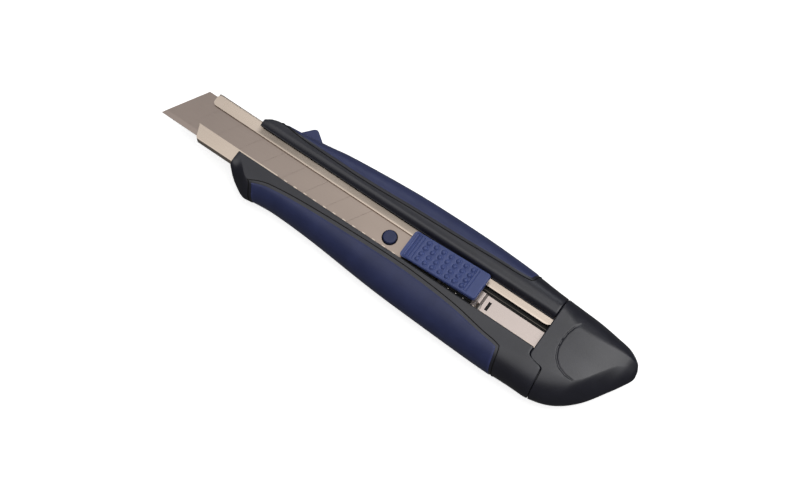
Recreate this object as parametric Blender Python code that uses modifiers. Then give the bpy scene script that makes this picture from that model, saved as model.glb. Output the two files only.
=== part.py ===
"""Snap-off utility knife with a steel rail, a two-colour handle and a pull-off end cap.

Frame: +X points from the blade's tip to the end cap, +Y from the cutting edge to the
blade's spine, +Z up through the slider.  The origin is on the flat underside.
Lengths below are millimetres; the model is built in metres.
"""
from math import cos, pi, radians, sin, tan

import bmesh
import bpy
from mathutils import Vector

MM = 0.001

# ---- driving sizes, mm -------------------------------------------------------------
CLEAR = 0.3               # gap left between neighbouring pieces
BLADE_WIDTH = 18.0
BLADE_LENGTH = 112.3
BLADE_THICK = 0.5
SEGMENT_PITCH = 10.5
SEGMENTS_SCORED = 8
SCORE_ANGLE = 60.0        # of the score lines and of the tip, degrees from the edge
SCORE_DEPTH = 0.12
SCORE_WIDTH = 0.3
EDGE_BEVEL = 2.0          # width of the ground cutting edge
EDGE_THICK = 0.1
HOLE_RADIUS = 3.2
HOLE_TO_REAR = 8.2
TIP_X = -105.0

RAIL_SHEET = 0.7
RAIL_SIDE_PLAY = 0.9      # between the blade's edges and the rail's side walls
FAR_LIP = 5.3             # widths of the rail's two lips over the blade
NEAR_LIP = 6.2
NOTCH_PITCH = 14.0 / 3     # three lock positions in every 14 mm of travel
NOTCH_WIDTH = 2.2
NOTCH_DEPTH = 0.8
NOTCHES = 25
NOTCHES_FROM_X = -48.0    # the first notch lies within half a pitch of this
RAIL_FAR_CORNER = 3.0     # radius of the far lip's front corner
RAIL_NEAR_SETBACK = 1.2   # near lip starts this far behind the rail's front
RAIL_NEAR_SLANT = 4.0     # and its front edge slants back over this length
RAIL_FRONT_X = -90.5
RAIL_UNDER_CAP = 1.5      # rail's rear end past the cap's seam

FLOOR_THICK = 1.5         # handle floor under the rail
FLOOR_TOP_Z = 10.3
HANDLE_FRONT_X = -70.8
SEAM_X = 69.5             # front edge of the end cap
CAP_LENGTH = 36.9
NEAR_BULGE = 11.1         # how far the handle stands out past the rail, cutting side
FAR_BULGE = 12.3          # and on the spine side
LIP_OVER_RAIL = 1.5
LIP_SKIN = 0.7            # hard shell left between a grip and the rail
TOP_ARCH = 1.2            # rise of the handle's top from its nose to the cap
NEAR_SKIRT = 5.0          # how far the handle's top reaches in over the rail, cutting side
FAR_SKIRT = 1.2           # and on the spine side: the slider's slot lies between them
GRIP_THICK = 1.7
GRIP_PROUD = 0.25         # how far the soft grips stand out of the hard shell
GRIP_BOTTOM_Z = 2.6
SHELL_WALL = 3.2
CAP_WALL = 1.4
CAP_STEP = 7.0            # length of the step in the cap's seam
NECK_LENGTH = 9.0         # spigot of the handle inside the cap
COVER_THICK = 2.4
COVER_FROM_NOSE = 25.8    # ends of the underside cover, in from the handle's ends
COVER_TO_SEAM = 7.5
COVER_NEAR_Y = -11.0
COVER_FAR_Y = 13.0
COVER_CORNER = 4.0
SCREW_INSET_X = 8.0       # screw centres in from the cover's edges
SCREW_INSET_Y = 4.5
FRONT_RIVET_INSET = 20.0  # rivets through the rail, in from the cover's ends
REAR_RIVET_INSET = 17.0
SLOT_CROSS = 1.3          # half length and half width of the screws' cross slots
SLOT_CROSS_HALF = 0.3
SLOT_CROSS_DEPTH = 0.5
SCREW_RADIUS = 1.1
SCREW_HEAD_RADIUS = 2.3
SCREW_HEAD_THICK = 1.1
BOSS_RADIUS = 3.0
RIVET_RADIUS = 1.5
RIVET_HEAD_RADIUS = 2.6
RIVET_HEAD_THICK = 0.7

CARRIER_THICK = 0.5
CARRIER_NOSE = 2.5        # carrier plate in front of the pin
CARRIER_REAR_GAP = 7.0    # between its rear and the slider's rear
CARRIER_CORNER = 3.0
TAIL_SIDE_PLAY = 0.9      # from the carrier's narrow tail, beside the strip, to the rail's wall
CARRIER_NEAR_Y = -3.0
CARRIER_FAR_Y = 7.0
PIN_RADIUS = 2.8
PIN_PROUD = 1.4
BLADE_UNDER_BUTTON = 0.8  # blade's rear end, behind the button's front
SLIDER_LENGTH = 34.3
BUTTON_OVER_NEAR_LIP = 0.1    # how far the button stands over the rail's lips
BUTTON_OVER_FAR_LIP = 2.2
BUTTON_YAW = 0.9          # sideways drift of the button over its length
BUTTON_FRONT_HEIGHT = 3.3     # above the rail's lips
BUTTON_REAR_HEIGHT = 5.3
BUTTON_EDGE = 0.8
PRESS_TRAVEL = 1.0
BASE_HEIGHT = 1.0         # above the rail's lips
BASE_FRONT_GAP = 1.2      # the base is this much shorter than the button in front
BASE_REAR_GAP = 1.0
BASE_SIDE_GAP = 0.2
BASE_TAIL = 5.5           # raised rear end of the base, over the strip
BASE_WING_INSET = 2.6     # wings under the lips, in from the rail's sides
PAWL_WAY_SPARE = 0.8
PAWL_FROM_FRONT = 18.5
PAWL_WIDTH = 1.5
SPRING_RADIUS = 1.5
SPRING_WIRE = 0.4
SPRING_TURNS = 3
SPRING_FROM_FRONT = 12.0
SPRING_SEAT_UP = 1.4      # spring's lower end above the blade's underside
SPRING_INTO_BUTTON = 0.6
LEAF_THICK = 0.3
LEAF_FRONT_GAP = 3.0
LEAF_REAR_GAP = 1.5
LEAF_BOW = 0.25
STRIP_THICK = 0.5
STRIP_NEAR_Y = -4.2
STRIP_FAR_Y = 2.8
STRIP_FRONT_GAP = 1.7     # strip's front end behind the base's web
STRIP_UNDER_CAP = 1.5     # strip's rear end past the seam
STRIP_CORNER = 1.0
JOGGLE_GAP = 1.5          # strip steps down this far behind the slider
JOGGLE_LENGTH = 1.2
WINDOW_GAP = 4.2
WINDOW_LENGTH = 1.1
WINDOW_NEAR_RIM = 1.6
WINDOW_FAR_RIM = 1.8
STRIP_RIVET_RADIUS = 0.9
STRIP_RIVET_HEAD = 1.8
STRIP_RIVET_INSET = 2.6
STRIP_RIVET_Y = 0.2

RING_STEPS = 7            # points along each rounded quarter of a handle section
MERGE = 0.002             # corners closer than this become one

# ---- sizes worked out from them ----------------------------------------------------
RAIL_HALF = BLADE_WIDTH / 2 + RAIL_SIDE_PLAY + RAIL_SHEET
RAIL_BOTTOM_Z = FLOOR_TOP_Z + CLEAR
CHANNEL_Z = RAIL_BOTTOM_Z + RAIL_SHEET
CARRIER_Z = CHANNEL_Z + CLEAR
BLADE_Z = CARRIER_Z + CARRIER_THICK + CLEAR
BLADE_TOP_Z = BLADE_Z + BLADE_THICK
LIP_Z = BLADE_TOP_Z + CLEAR
RAIL_TOP_Z = LIP_Z + RAIL_SHEET
NEAR_LIP_Y = -RAIL_HALF + NEAR_LIP
FAR_LIP_Y = RAIL_HALF - FAR_LIP
HANDLE_LENGTH = SEAM_X - HANDLE_FRONT_X
HANDLE_TOP_Z = RAIL_TOP_Z + CLEAR + LIP_OVER_RAIL
FLOOR_Z = FLOOR_TOP_Z - FLOOR_THICK
CAP_END_X = SEAM_X + CAP_LENGTH
RAIL_REAR_X = SEAM_X + RAIL_UNDER_CAP
SLOT_NEAR_Y = -RAIL_HALF + NEAR_SKIRT
SLOT_FAR_Y = RAIL_HALF - FAR_SKIRT
COVER_FRONT_X = HANDLE_FRONT_X + COVER_FROM_NOSE
COVER_REAR_X = SEAM_X - COVER_TO_SEAM
HOLE_X = TIP_X + BLADE_LENGTH - HOLE_TO_REAR
BLADE_REAR_X = TIP_X + BLADE_LENGTH
TAIL_FAR_Y = RAIL_HALF - RAIL_SHEET - TAIL_SIDE_PLAY
SLIDER_FRONT_X = BLADE_REAR_X - BLADE_UNDER_BUTTON
SLIDER_REAR_X = SLIDER_FRONT_X + SLIDER_LENGTH
BUTTON_NEAR_Y = NEAR_LIP_Y - BUTTON_OVER_NEAR_LIP
BUTTON_WIDTH = FAR_LIP_Y + BUTTON_OVER_FAR_LIP - BUTTON_NEAR_Y
BUTTON_FRONT_TOP_Z = RAIL_TOP_Z + BUTTON_FRONT_HEIGHT
BUTTON_REAR_TOP_Z = RAIL_TOP_Z + BUTTON_REAR_HEIGHT
BASE_TOP_Z = RAIL_TOP_Z + BASE_HEIGHT
PAWL_X = SLIDER_FRONT_X + PAWL_FROM_FRONT
BUTTON_BOTTOM_Z = BASE_TOP_Z + CLEAR + PRESS_TRAVEL
SCREW_PLACES = [(x, y) for x in (COVER_FRONT_X + SCREW_INSET_X, COVER_REAR_X - SCREW_INSET_X)
                for y in (COVER_NEAR_Y + SCREW_INSET_Y, COVER_FAR_Y - SCREW_INSET_Y)]
RIVET_PLACES = [COVER_FRONT_X + FRONT_RIVET_INSET, COVER_REAR_X - REAR_RIVET_INSET]
SPRING_X = SLIDER_FRONT_X + SPRING_FROM_FRONT
SPRING_Y = BUTTON_NEAR_Y + BUTTON_WIDTH / 2
SPRING_LOW_Z = BLADE_Z + SPRING_SEAT_UP
SPRING_HIGH_Z = BUTTON_BOTTOM_Z + SPRING_INTO_BUTTON
STRIP_FRONT_X = SLIDER_REAR_X - BASE_REAR_GAP - BASE_TAIL + STRIP_FRONT_GAP
STRIP_RIVET_X = SLIDER_REAR_X - STRIP_RIVET_INSET
STRIP_REAR_X = SEAM_X + STRIP_UNDER_CAP

# ---- outline rules: (share of the length, share of the bulge) ------------------------
NEAR_SIDE = [(0.0, 0.05), (0.02, 0.25), (0.05, 0.48), (0.085, 0.70), (0.125, 0.58),
             (0.18, 0.52), (0.31, 0.58), (0.53, 0.81), (0.70, 0.91), (0.90, 0.99),
             (1.0, 0.97)]
FAR_SIDE = [(0.0, 0.12), (0.012, 0.22), (0.035, 0.37), (0.11, 0.51), (0.195, 0.65),
            (0.27, 0.78), (0.47, 0.96), (0.60, 1.0), (0.74, 0.99), (0.87, 0.92),
            (1.0, 0.79)]
CAP_NEAR_SIDE = [(0.0, 0.97), (0.22, 0.95), (0.47, 0.67), (0.69, 0.05), (0.88, -0.90),
                 (0.97, -1.42), (1.0, -1.62)]
CAP_FAR_SIDE = [(0.0, 0.79), (0.38, 0.75), (0.68, 0.63), (0.82, 0.54), (0.94, 0.32),
                (0.985, 0.12), (1.0, 0.0)]
TOP_RISE = [(0.0, 0.0), (0.3, 0.3), (0.7, 0.85), (1.0, 1.0)]
CHIN_RISE = [(0.0, 0.92), (0.04, 0.55), (0.09, 0.2), (0.14, 0.03), (0.17, 0.0), (1.0, 0.0)]
CAP_TOP_DROP = [(0.0, 0.0), (0.3, 0.07), (0.6, 0.24), (0.85, 0.52), (0.96, 0.80), (1.0, 1.0)]
CAP_TOP_DROP_Z = 7.5
CAP_TAIL_RISE = [(0.0, 0.0), (0.3, 0.03), (0.6, 0.2), (0.85, 0.55), (1.0, 1.0)]
CAP_TAIL_RISE_Z = 5.5
CAP_NEAR_EDGE = [(0.0, 0.0), (0.3, 0.0), (0.5, 0.6), (0.6, 4.0), (0.7, 10.0), (0.8, 15.0),
                 (0.9, 17.3), (1.0, 17.8)]    # how far the flat top draws in over the cap, mm
NEAR_SHOULDER = 7.8       # half breadth of the flat top, cutting side
FAR_SHOULDER = 13.0       # and spine side
BOTTOM_ROUND = 6.0        # breadth of the rounding below the widest line


def rule(points, share):
    """Smooth value at share along a short list of (share, value) points."""
    share = min(max(share, points[0][0]), points[-1][0])
    last = len(points) - 2
    k = 0
    while k < last and share > points[k + 1][0]:
        k += 1
    (x0, y0), (x1, y1) = points[k], points[k + 1]
    span = x1 - x0
    before = points[k - 1] if k else (x0 - span, y0)
    after = points[k + 2] if k < last else (x1 + span, y1)
    slope0 = (y1 - before[1]) / (x1 - before[0])
    slope1 = (after[1] - y0) / (after[0] - x0)
    t = (share - x0) / span
    h00 = 2 * t ** 3 - 3 * t ** 2 + 1
    h10 = t ** 3 - 2 * t ** 2 + t
    h01 = 3 * t ** 2 - 2 * t ** 3
    h11 = t ** 3 - t ** 2
    return h00 * y0 + h10 * span * slope0 + h01 * y1 + h11 * span * slope1


def section_sizes(x):
    """Near side, far side, top and bottom of the handle and cap at x."""
    if x <= SEAM_X:
        share = (x - HANDLE_FRONT_X) / HANDLE_LENGTH
        near = rule(NEAR_SIDE, share)
        far = rule(FAR_SIDE, share)
        top = HANDLE_TOP_Z + TOP_ARCH * rule(TOP_RISE, share)
        bottom = FLOOR_Z * rule(CHIN_RISE, share)
    else:
        share = (x - SEAM_X) / CAP_LENGTH
        near = rule(CAP_NEAR_SIDE, share)
        far = rule(CAP_FAR_SIDE, share)
        top = HANDLE_TOP_Z + TOP_ARCH - CAP_TOP_DROP_Z * rule(CAP_TOP_DROP, share)
        bottom = CAP_TAIL_RISE_Z * rule(CAP_TAIL_RISE, share)
    return (-(RAIL_HALF + NEAR_BULGE * near), RAIL_HALF + FAR_BULGE * far, top, bottom)


def quarter(start, end, upward):
    """Points of an elliptic quarter from start to end, both ends left out."""
    points = []
    for k in range(1, RING_STEPS):
        a = pi / 2 * k / RING_STEPS
        if upward:
            y = end[0] + (start[0] - end[0]) * cos(a)
            z = start[1] + (end[1] - start[1]) * sin(a)
        else:
            y = start[0] + (end[0] - start[0]) * sin(a)
            z = end[1] + (start[1] - end[1]) * cos(a)
        points.append((y, z))
    return points


def section(x, inset):
    """Closed outline of the handle at x, drawn in by inset."""
    near, far, top, bottom = section_sizes(x)
    breadth = far - near
    cap_share = max(0.0, x - SEAM_X) / CAP_LENGTH
    near_edge = -NEAR_SHOULDER + rule(CAP_NEAR_EDGE, cap_share)
    near_shoulder = min(max(near + 1.0, near_edge), near + 0.6 * breadth)
    far_shoulder = far - min(max(1.0, far - FAR_SHOULDER), 0.3 * breadth)
    round_off = min(BOTTOM_ROUND, 0.3 * breadth)
    near_bottom = near + round_off
    far_bottom = far - round_off
    middle = bottom + (top - bottom) * 0.46
    near += inset
    far -= inset
    top -= inset
    bottom += inset
    near_shoulder = max(near_shoulder, near + 0.3)
    far_shoulder = min(far_shoulder, far - 0.3)
    near_bottom = max(near_bottom, near + 0.3)
    far_bottom = min(far_bottom, far - 0.3)
    ring = [(far_shoulder, top), (near_shoulder, top)]
    ring += quarter((near_shoulder, top), (near, middle), False)
    ring.append((near, middle))
    ring += quarter((near, middle), (near_bottom, bottom), True)
    ring += [(near_bottom, bottom), (far_bottom, bottom)]
    ring += quarter((far_bottom, bottom), (far, middle), False)
    ring.append((far, middle))
    ring += quarter((far, middle), (far_shoulder, top), True)
    return ring


# ---- building tools ------------------------------------------------------------------
def collection(name):
    made = bpy.data.collections.new(name)
    bpy.context.scene.collection.children.link(made)
    return made


def material(name, colour, roughness, metallic=0.0):
    made = bpy.data.materials.new(name)
    made.use_nodes = True
    shader = made.node_tree.nodes["Principled BSDF"]
    shader.inputs["Base Color"].default_value = (*colour, 1.0)
    shader.inputs["Roughness"].default_value = roughness
    shader.inputs["Metallic"].default_value = metallic
    made.diffuse_color = (*colour, 1.0)
    return made


def from_bmesh(name, bm, home):
    bmesh.ops.recalc_face_normals(bm, faces=bm.faces)
    mesh = bpy.data.meshes.new(name)
    bm.to_mesh(mesh)
    bm.free()
    obj = bpy.data.objects.new(name, mesh)
    home.objects.link(obj)
    return obj


def box(name, low, high, home):
    """Box between two corners given in mm."""
    bm = bmesh.new()
    bmesh.ops.create_cube(bm, size=1.0)
    size = Vector(high) - Vector(low)
    middle = (Vector(high) + Vector(low)) / 2
    for vert in bm.verts:
        vert.co = Vector((vert.co[i] * size[i] + middle[i] for i in range(3))) * MM
    return from_bmesh(name, bm, home)


def drum(name, x, y, radius, low, high, home, sides=24):
    """Upright cylinder in mm."""
    bm = bmesh.new()
    bmesh.ops.create_cone(bm, cap_ends=True, segments=sides, radius1=radius * MM,
                          radius2=radius * MM, depth=(high - low) * MM)
    bmesh.ops.translate(bm, verts=bm.verts, vec=Vector((x, y, (low + high) / 2)) * MM)
    return from_bmesh(name, bm, home)


def to_mesh(obj):
    """The object's evaluated shape as a plain mesh object with the same name."""
    graph = bpy.context.evaluated_depsgraph_get()
    mesh = bpy.data.meshes.new_from_object(obj.evaluated_get(graph))
    bm = bmesh.new()
    bm.from_mesh(mesh)
    bmesh.ops.remove_doubles(bm, verts=bm.verts, dist=MERGE * MM)
    bm.to_mesh(mesh)
    bm.free()
    home = obj.users_collection[0]
    name = obj.name
    place = obj.matrix_world.copy()
    bpy.data.objects.remove(obj)
    made = bpy.data.objects.new(name, mesh)
    made.matrix_world = place
    home.objects.link(made)
    return made


def plate(name, outline, low, high, home):
    """Flat piece with a closed outline of (x, y) points in mm."""
    curve = bpy.data.curves.new(name, "CURVE")
    curve.dimensions = "2D"
    curve.fill_mode = "BOTH"
    curve.extrude = (high - low) / 2 * MM
    spline = curve.splines.new("POLY")
    spline.points.add(len(outline) - 1)
    for point, (x, y) in zip(spline.points, outline):
        point.co = (x * MM, y * MM, 0.0, 1.0)
    spline.use_cyclic_u = True
    obj = bpy.data.objects.new(name, curve)
    obj.location.z = (low + high) / 2 * MM
    home.objects.link(obj)
    bpy.context.view_layer.update()
    return to_mesh(obj)


def beam(name, profile, x0, x1, home):
    """Straight piece along X whose closed profile has (y, z) points in mm."""
    bm = bmesh.new()
    face = bm.faces.new([bm.verts.new(Vector((x0, y, z)) * MM) for y, z in profile])
    grown = bmesh.ops.extrude_face_region(bm, geom=[face])
    moved = [item for item in grown["geom"] if isinstance(item, bmesh.types.BMVert)]
    bmesh.ops.translate(bm, verts=moved, vec=Vector((x1 - x0, 0, 0)) * MM)
    return from_bmesh(name, bm, home)


def loft(name, rings, home):
    """Closed skin through rings of points that match one for one, mm."""
    bm = bmesh.new()
    rows = [[bm.verts.new(Vector(point) * MM) for point in ring] for ring in rings]
    count = len(rows[0])
    for a, b in zip(rows, rows[1:]):
        for k in range(count):
            bm.faces.new((a[k], a[(k + 1) % count], b[(k + 1) % count], b[k]))
    bm.faces.new(rows[0])
    bm.faces.new(rows[-1])
    bmesh.ops.triangulate(bm, faces=bm.faces)
    return from_bmesh(name, bm, home)


def combine(obj, other, operation):
    """Boolean of obj with other, which is used up."""
    modifier = obj.modifiers.new(operation.lower(), "BOOLEAN")
    modifier.operation = operation
    modifier.solver = "EXACT"
    modifier.object = other
    bpy.context.view_layer.update()
    made = to_mesh(obj)
    bpy.data.objects.remove(other)
    return made


def cut(obj, *cutters):
    for cutter in cutters:
        obj = combine(obj, cutter, "DIFFERENCE")
    return obj


def keep(obj, region):
    return combine(obj, region, "INTERSECT")


def join(obj, *others):
    for other in others:
        obj = combine(obj, other, "UNION")
    return obj


def finish(obj, name, finish_material, sharp_degrees=35.0):
    obj.name = name
    obj.data.name = name
    obj.data.materials.clear()
    obj.data.materials.append(finish_material)
    obj.data.shade_smooth()
    obj.data.set_sharp_from_angle(angle=radians(sharp_degrees))
    return obj


def bevelled(obj, width, segments=2):
    modifier = obj.modifiers.new("rounding", "BEVEL")
    modifier.width = width * MM
    modifier.segments = segments
    modifier.limit_method = "ANGLE"
    modifier.angle_limit = radians(40.0)
    bpy.context.view_layer.update()
    return to_mesh(obj)


# ---- the handle's outer form -----------------------------------------------------------
def stations(x0, x1):
    """Stations along X, closer together at the nose and at the tail of the cap."""
    inner = [HANDLE_FRONT_X + HANDLE_LENGTH * share for share in
             (0.0, 0.008, 0.02, 0.035, 0.055, 0.08, 0.11, 0.15, 0.2, 0.27, 0.36, 0.46,
              0.56, 0.66, 0.76, 0.86, 0.94)]
    inner += [SEAM_X + CAP_LENGTH * sin(pi / 2 * k / 12) for k in range(13)]
    return [x0] + [x for x in inner if x0 + 0.1 < x < x1 - 0.1] + [x1]


def form(name, inset, x0, x1, home):
    rings = []
    for x in stations(x0, x1):
        rings.append([(x, y, z) for y, z in section(x, inset)])
    return loft(name, rings, home)


def grown(outline, grow):
    """Closed outline moved outwards by grow along both neighbours' normals."""
    count = len(outline)
    area = sum(outline[k - 1][0] * outline[k][1] - outline[k][0] * outline[k - 1][1]
               for k in range(count))
    turn = 1.0 if area > 0 else -1.0
    points = []
    for k in range(count):
        here = Vector(outline[k])
        back = (here - Vector(outline[k - 1])).normalized()
        ahead = (Vector(outline[(k + 1) % count]) - here).normalized()
        normals = [Vector((side.y, -side.x)) * turn for side in (back, ahead)]
        spread = max(0.3, 1.0 + normals[0].dot(normals[1]))
        moved = here + (normals[0] + normals[1]) * (grow / spread)
        points.append((moved.x, moved.y))
    return points


def handle_x(share):
    return HANDLE_FRONT_X + HANDLE_LENGTH * share


def near_grip_outline(grow):
    """Plan region of the cutting-side grip, grown outwards by grow."""
    top = [(0.075, -12.6), (0.10, -10.9), (0.14, -9.8), (0.24, -8.8), (0.42, -7.9),
           (0.57, -7.6), (0.66, -8.2), (0.76, -9.5), (0.86, -11.9), (0.905, -12.7),
           (0.925, -14.2)]
    outer = -(RAIL_HALF + NEAR_BULGE + 8.0)
    points = [(handle_x(share), y) for share, y in top]
    points += [(handle_x(0.942), outer), (handle_x(0.13), outer), (handle_x(0.115), -17.0)]
    return grown(points, grow)


def far_grip_outline(grow):
    """Plan region of the spine-side grip, grown outwards by grow."""
    low = [(0.065, 16.2), (0.10, 14.9), (0.14, 14.2), (0.25, 13.7), (0.34, 13.5),
           (0.52, 14.5), (0.66, 15.1), (0.78, 15.9), (0.86, 16.3), (0.885, 17.4),
           (0.90, 19.5)]
    outer = RAIL_HALF + FAR_BULGE + 8.0
    points = [(handle_x(share), y) for share, y in low]
    points += [(handle_x(0.905), outer), (handle_x(0.06), outer)]
    return grown(points, grow)


def cap_outline(gap):
    """Plan region behind the stepped seam; gap moves the seam back."""
    seam = SEAM_X + gap
    step = CAP_STEP
    far = RAIL_HALF + FAR_BULGE + 8.0
    near = -(RAIL_HALF + NEAR_BULGE + 8.0)
    rear = CAP_END_X + 8.0
    return [(seam, far), (seam, -7.4), (seam + 0.12 * step, -9.1 + gap),
            (seam + 0.4 * step, -10.0 + gap), (seam + 0.8 * step, -10.1 + gap),
            (seam + 0.97 * step, -11.2 + gap), (seam + 1.1 * step, -19.5),
            (seam + 1.3 * step, near), (rear, near), (rear, far)]


def grip_band(name, outline, outer, spare, home):
    """Skin of the handle in a plan region, with spare mm more room all round."""
    x0 = HANDLE_FRONT_X + 2.0
    x1 = SEAM_X - 2.0
    side = RAIL_HALF + CLEAR + LIP_SKIN + CLEAR - spare
    skin = form(name, outer, x0, x1, home)
    skin = cut(skin, form("core", GRIP_THICK + spare, x0 - 1.0, x1 + 1.0, home))
    skin = cut(skin, box("rail_guard", (x0 - 5.0, -side, FLOOR_Z),
                         (x1 + 5.0, side, RAIL_TOP_Z + 2 * CLEAR + LIP_SKIN - spare), home))
    return keep(skin, plate("region", outline, GRIP_BOTTOM_Z - spare, 40.0, home))


# ---- handle pieces ---------------------------------------------------------------------
def cover_outline(grow):
    """Rounded rectangle of the underside cover."""
    points = []
    corners = [(COVER_REAR_X, COVER_FAR_Y, 0), (COVER_FRONT_X, COVER_FAR_Y, 1),
               (COVER_FRONT_X, COVER_NEAR_Y, 2), (COVER_REAR_X, COVER_NEAR_Y, 3)]
    for x, y, turn in corners:
        sx = 1 if turn in (0, 3) else -1
        sy = 1 if turn in (0, 1) else -1
        for k in range(5):
            a = pi / 2 * (turn + k / 4)
            points.append((x - sx * COVER_CORNER + (COVER_CORNER + grow) * cos(a),
                           y - sy * COVER_CORNER + (COVER_CORNER + grow) * sin(a)))
    return points


def body_shell(home):
    body = form("body_shell", GRIP_PROUD, HANDLE_FRONT_X, SEAM_X + CAP_STEP * 1.3 + 2.0, home)
    body = cut(body, plate("cap_side", cap_outline(-CLEAR), -5.0, 40.0, home))
    neck = form("neck", CAP_WALL + GRIP_PROUD + CLEAR, SEAM_X - 3.0, SEAM_X + NECK_LENGTH, home)
    body = join(body, neck)
    for outline in (near_grip_outline(CLEAR), far_grip_outline(CLEAR)):
        body = cut(body, grip_band("band", outline, -2.0, CLEAR, home))
    front = HANDLE_FRONT_X - 5.0
    rear = SEAM_X + CAP_STEP + NECK_LENGTH + 5.0
    side = RAIL_HALF + CLEAR
    body = cut(body, box("rail_bay", (front, -side, FLOOR_TOP_Z),
                         (rear, side, RAIL_TOP_Z + CLEAR), home))
    body = cut(body, box("slot", (front, SLOT_NEAR_Y, RAIL_TOP_Z - 1.0),
                         (rear, SLOT_FAR_Y, 40.0), home))
    room = form("room", SHELL_WALL, COVER_FRONT_X, COVER_REAR_X, home)
    room = keep(room, box("under", (COVER_FRONT_X - 1.0, -40.0, COVER_THICK + CLEAR),
                          (COVER_REAR_X + 1.0, 40.0, FLOOR_Z), home))
    body = cut(body, room)
    body = cut(body, plate("mouth", cover_outline(CLEAR), -1.0, COVER_THICK + 1.0, home))
    for x, y in SCREW_PLACES:
        body = join(body, drum("boss", x, y, BOSS_RADIUS, COVER_THICK + CLEAR,
                               FLOOR_Z + 0.5, home, 20))
        body = cut(body, drum("bore", x, y, SCREW_RADIUS + CLEAR, COVER_THICK - 1.0,
                              FLOOR_Z - 0.4, home, 16))
    for x in RIVET_PLACES:
        body = cut(body, drum("bore", x, 0.0, RIVET_RADIUS + CLEAR, FLOOR_Z - 1.0,
                              FLOOR_TOP_Z + 1.0, home, 16))
    return finish(body, "body_shell", BLACK)


def underside_cover(home):
    cover = plate("underside_cover", cover_outline(0.0), 0.0, COVER_THICK, home)
    for x, y in SCREW_PLACES:
        cover = cut(cover,
                    drum("sink", x, y, SCREW_HEAD_RADIUS + CLEAR, -1.0,
                         SCREW_HEAD_THICK + 2 * CLEAR, home),
                    drum("bore", x, y, SCREW_RADIUS + CLEAR, -1.0, COVER_THICK + 1.0, home, 16))
    return finish(cover, "underside_cover", BLACK)


def cover_screw(number, x, y, home):
    screw = drum("head", x, y, SCREW_HEAD_RADIUS, CLEAR, CLEAR + SCREW_HEAD_THICK, home)
    screw = join(screw, drum("shank", x, y, SCREW_RADIUS, CLEAR + SCREW_HEAD_THICK / 2,
                             FLOOR_Z - 1.0, home, 16))
    for turn in (0.0, pi / 2):
        bar = box("bar", (-SLOT_CROSS, -SLOT_CROSS_HALF, -1.0),
                  (SLOT_CROSS, SLOT_CROSS_HALF, CLEAR + SLOT_CROSS_DEPTH), home)
        bar.rotation_euler.z = turn
        bar.location = Vector((x, y, 0.0)) * MM
        bpy.context.view_layer.update()
        screw = cut(screw, bar)
    return finish(screw, "cover_screw_%d" % number, STEEL)


def rail_rivet(name, x, home):
    top = CHANNEL_Z
    rivet = drum("shank", x, 0.0, RIVET_RADIUS, FLOOR_Z - CLEAR - 0.1, top, home, 16)
    rivet = join(rivet, drum("head", x, 0.0, RIVET_HEAD_RADIUS,
                             FLOOR_Z - CLEAR - RIVET_HEAD_THICK, FLOOR_Z - CLEAR, home, 20))
    return finish(rivet, name, STEEL)


def blade_rail(home):
    outer = RAIL_HALF
    inner = RAIL_HALF - RAIL_SHEET
    profile = [(-outer, RAIL_BOTTOM_Z), (outer, RAIL_BOTTOM_Z), (outer, RAIL_TOP_Z),
               (FAR_LIP_Y, RAIL_TOP_Z), (FAR_LIP_Y, LIP_Z), (inner, LIP_Z),
               (inner, CHANNEL_Z), (-inner, CHANNEL_Z), (-inner, LIP_Z),
               (NEAR_LIP_Y, LIP_Z), (NEAR_LIP_Y, RAIL_TOP_Z), (-outer, RAIL_TOP_Z)]
    rail = beam("blade_rail", profile, RAIL_FRONT_X, RAIL_REAR_X, home)
    before = RAIL_FRONT_X - 1.0
    far = [(before, outer + 1.0)]
    for k in range(7):
        a = pi / 2 * k / 6
        far.append((RAIL_FRONT_X + RAIL_FAR_CORNER * (1 - sin(a)),
                    outer - RAIL_FAR_CORNER * (1 - cos(a))))
    far.append((before, outer - RAIL_FAR_CORNER))
    rail = cut(rail, plate("far_corner", far, 0.0, 30.0, home))
    near_front = RAIL_FRONT_X + RAIL_NEAR_SETBACK
    near = [(before, NEAR_LIP_Y + 2.0), (near_front, NEAR_LIP_Y + 2.0), (near_front, NEAR_LIP_Y),
            (RAIL_FRONT_X + RAIL_NEAR_SLANT, -outer - 1.0), (before, -outer - 1.0)]
    rail = cut(rail, plate("near_corner", near, 0.0, 30.0, home))
    first = PAWL_X - NOTCH_PITCH * round((PAWL_X - NOTCHES_FROM_X) / NOTCH_PITCH)
    for k in range(NOTCHES):
        x = first + NOTCH_PITCH * k
        rail = cut(rail, box("notch", (x - NOTCH_WIDTH / 2, NEAR_LIP_Y - NOTCH_DEPTH, LIP_Z - 0.5),
                             (x + NOTCH_WIDTH / 2, NEAR_LIP_Y + 1.0, RAIL_TOP_Z + 1.0), home))
    for x in RIVET_PLACES:
        rail = cut(rail, drum("bore", x, 0.0, RIVET_RADIUS + CLEAR, RAIL_BOTTOM_Z - 1.0,
                              CHANNEL_Z + 0.5, home, 16))
    return finish(rail, "blade_rail", STEEL)


def near_grip(home):
    band = grip_band("near_grip", near_grip_outline(0.0), 0.0, 0.0, home)
    return finish(band, "near_grip", BLUE_SOFT)


def finger_hook(home):
    """The pointed rest for a fingertip near the front of the spine-side grip."""
    x = HANDLE_FRONT_X + HANDLE_LENGTH * 0.13
    foot = section_sizes(x)[1]
    outline = [(x - 5.0, foot - 1.2), (x - 1.2, foot + 3.6), (x + 0.2, foot + 4.0),
               (x + 1.4, foot + 3.2), (x + 7.5, foot - 0.6)]
    return plate("hook", outline, 5.0, 11.5, home)


def far_grip(home):
    band = grip_band("far_grip", far_grip_outline(0.0), 0.0, 0.0, home)
    hook = cut(finger_hook(home),
               form("core", 0.6, HANDLE_FRONT_X + 1.0, SEAM_X - 1.0, home))
    return finish(join(band, hook), "far_grip", BLUE_SOFT)


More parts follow.
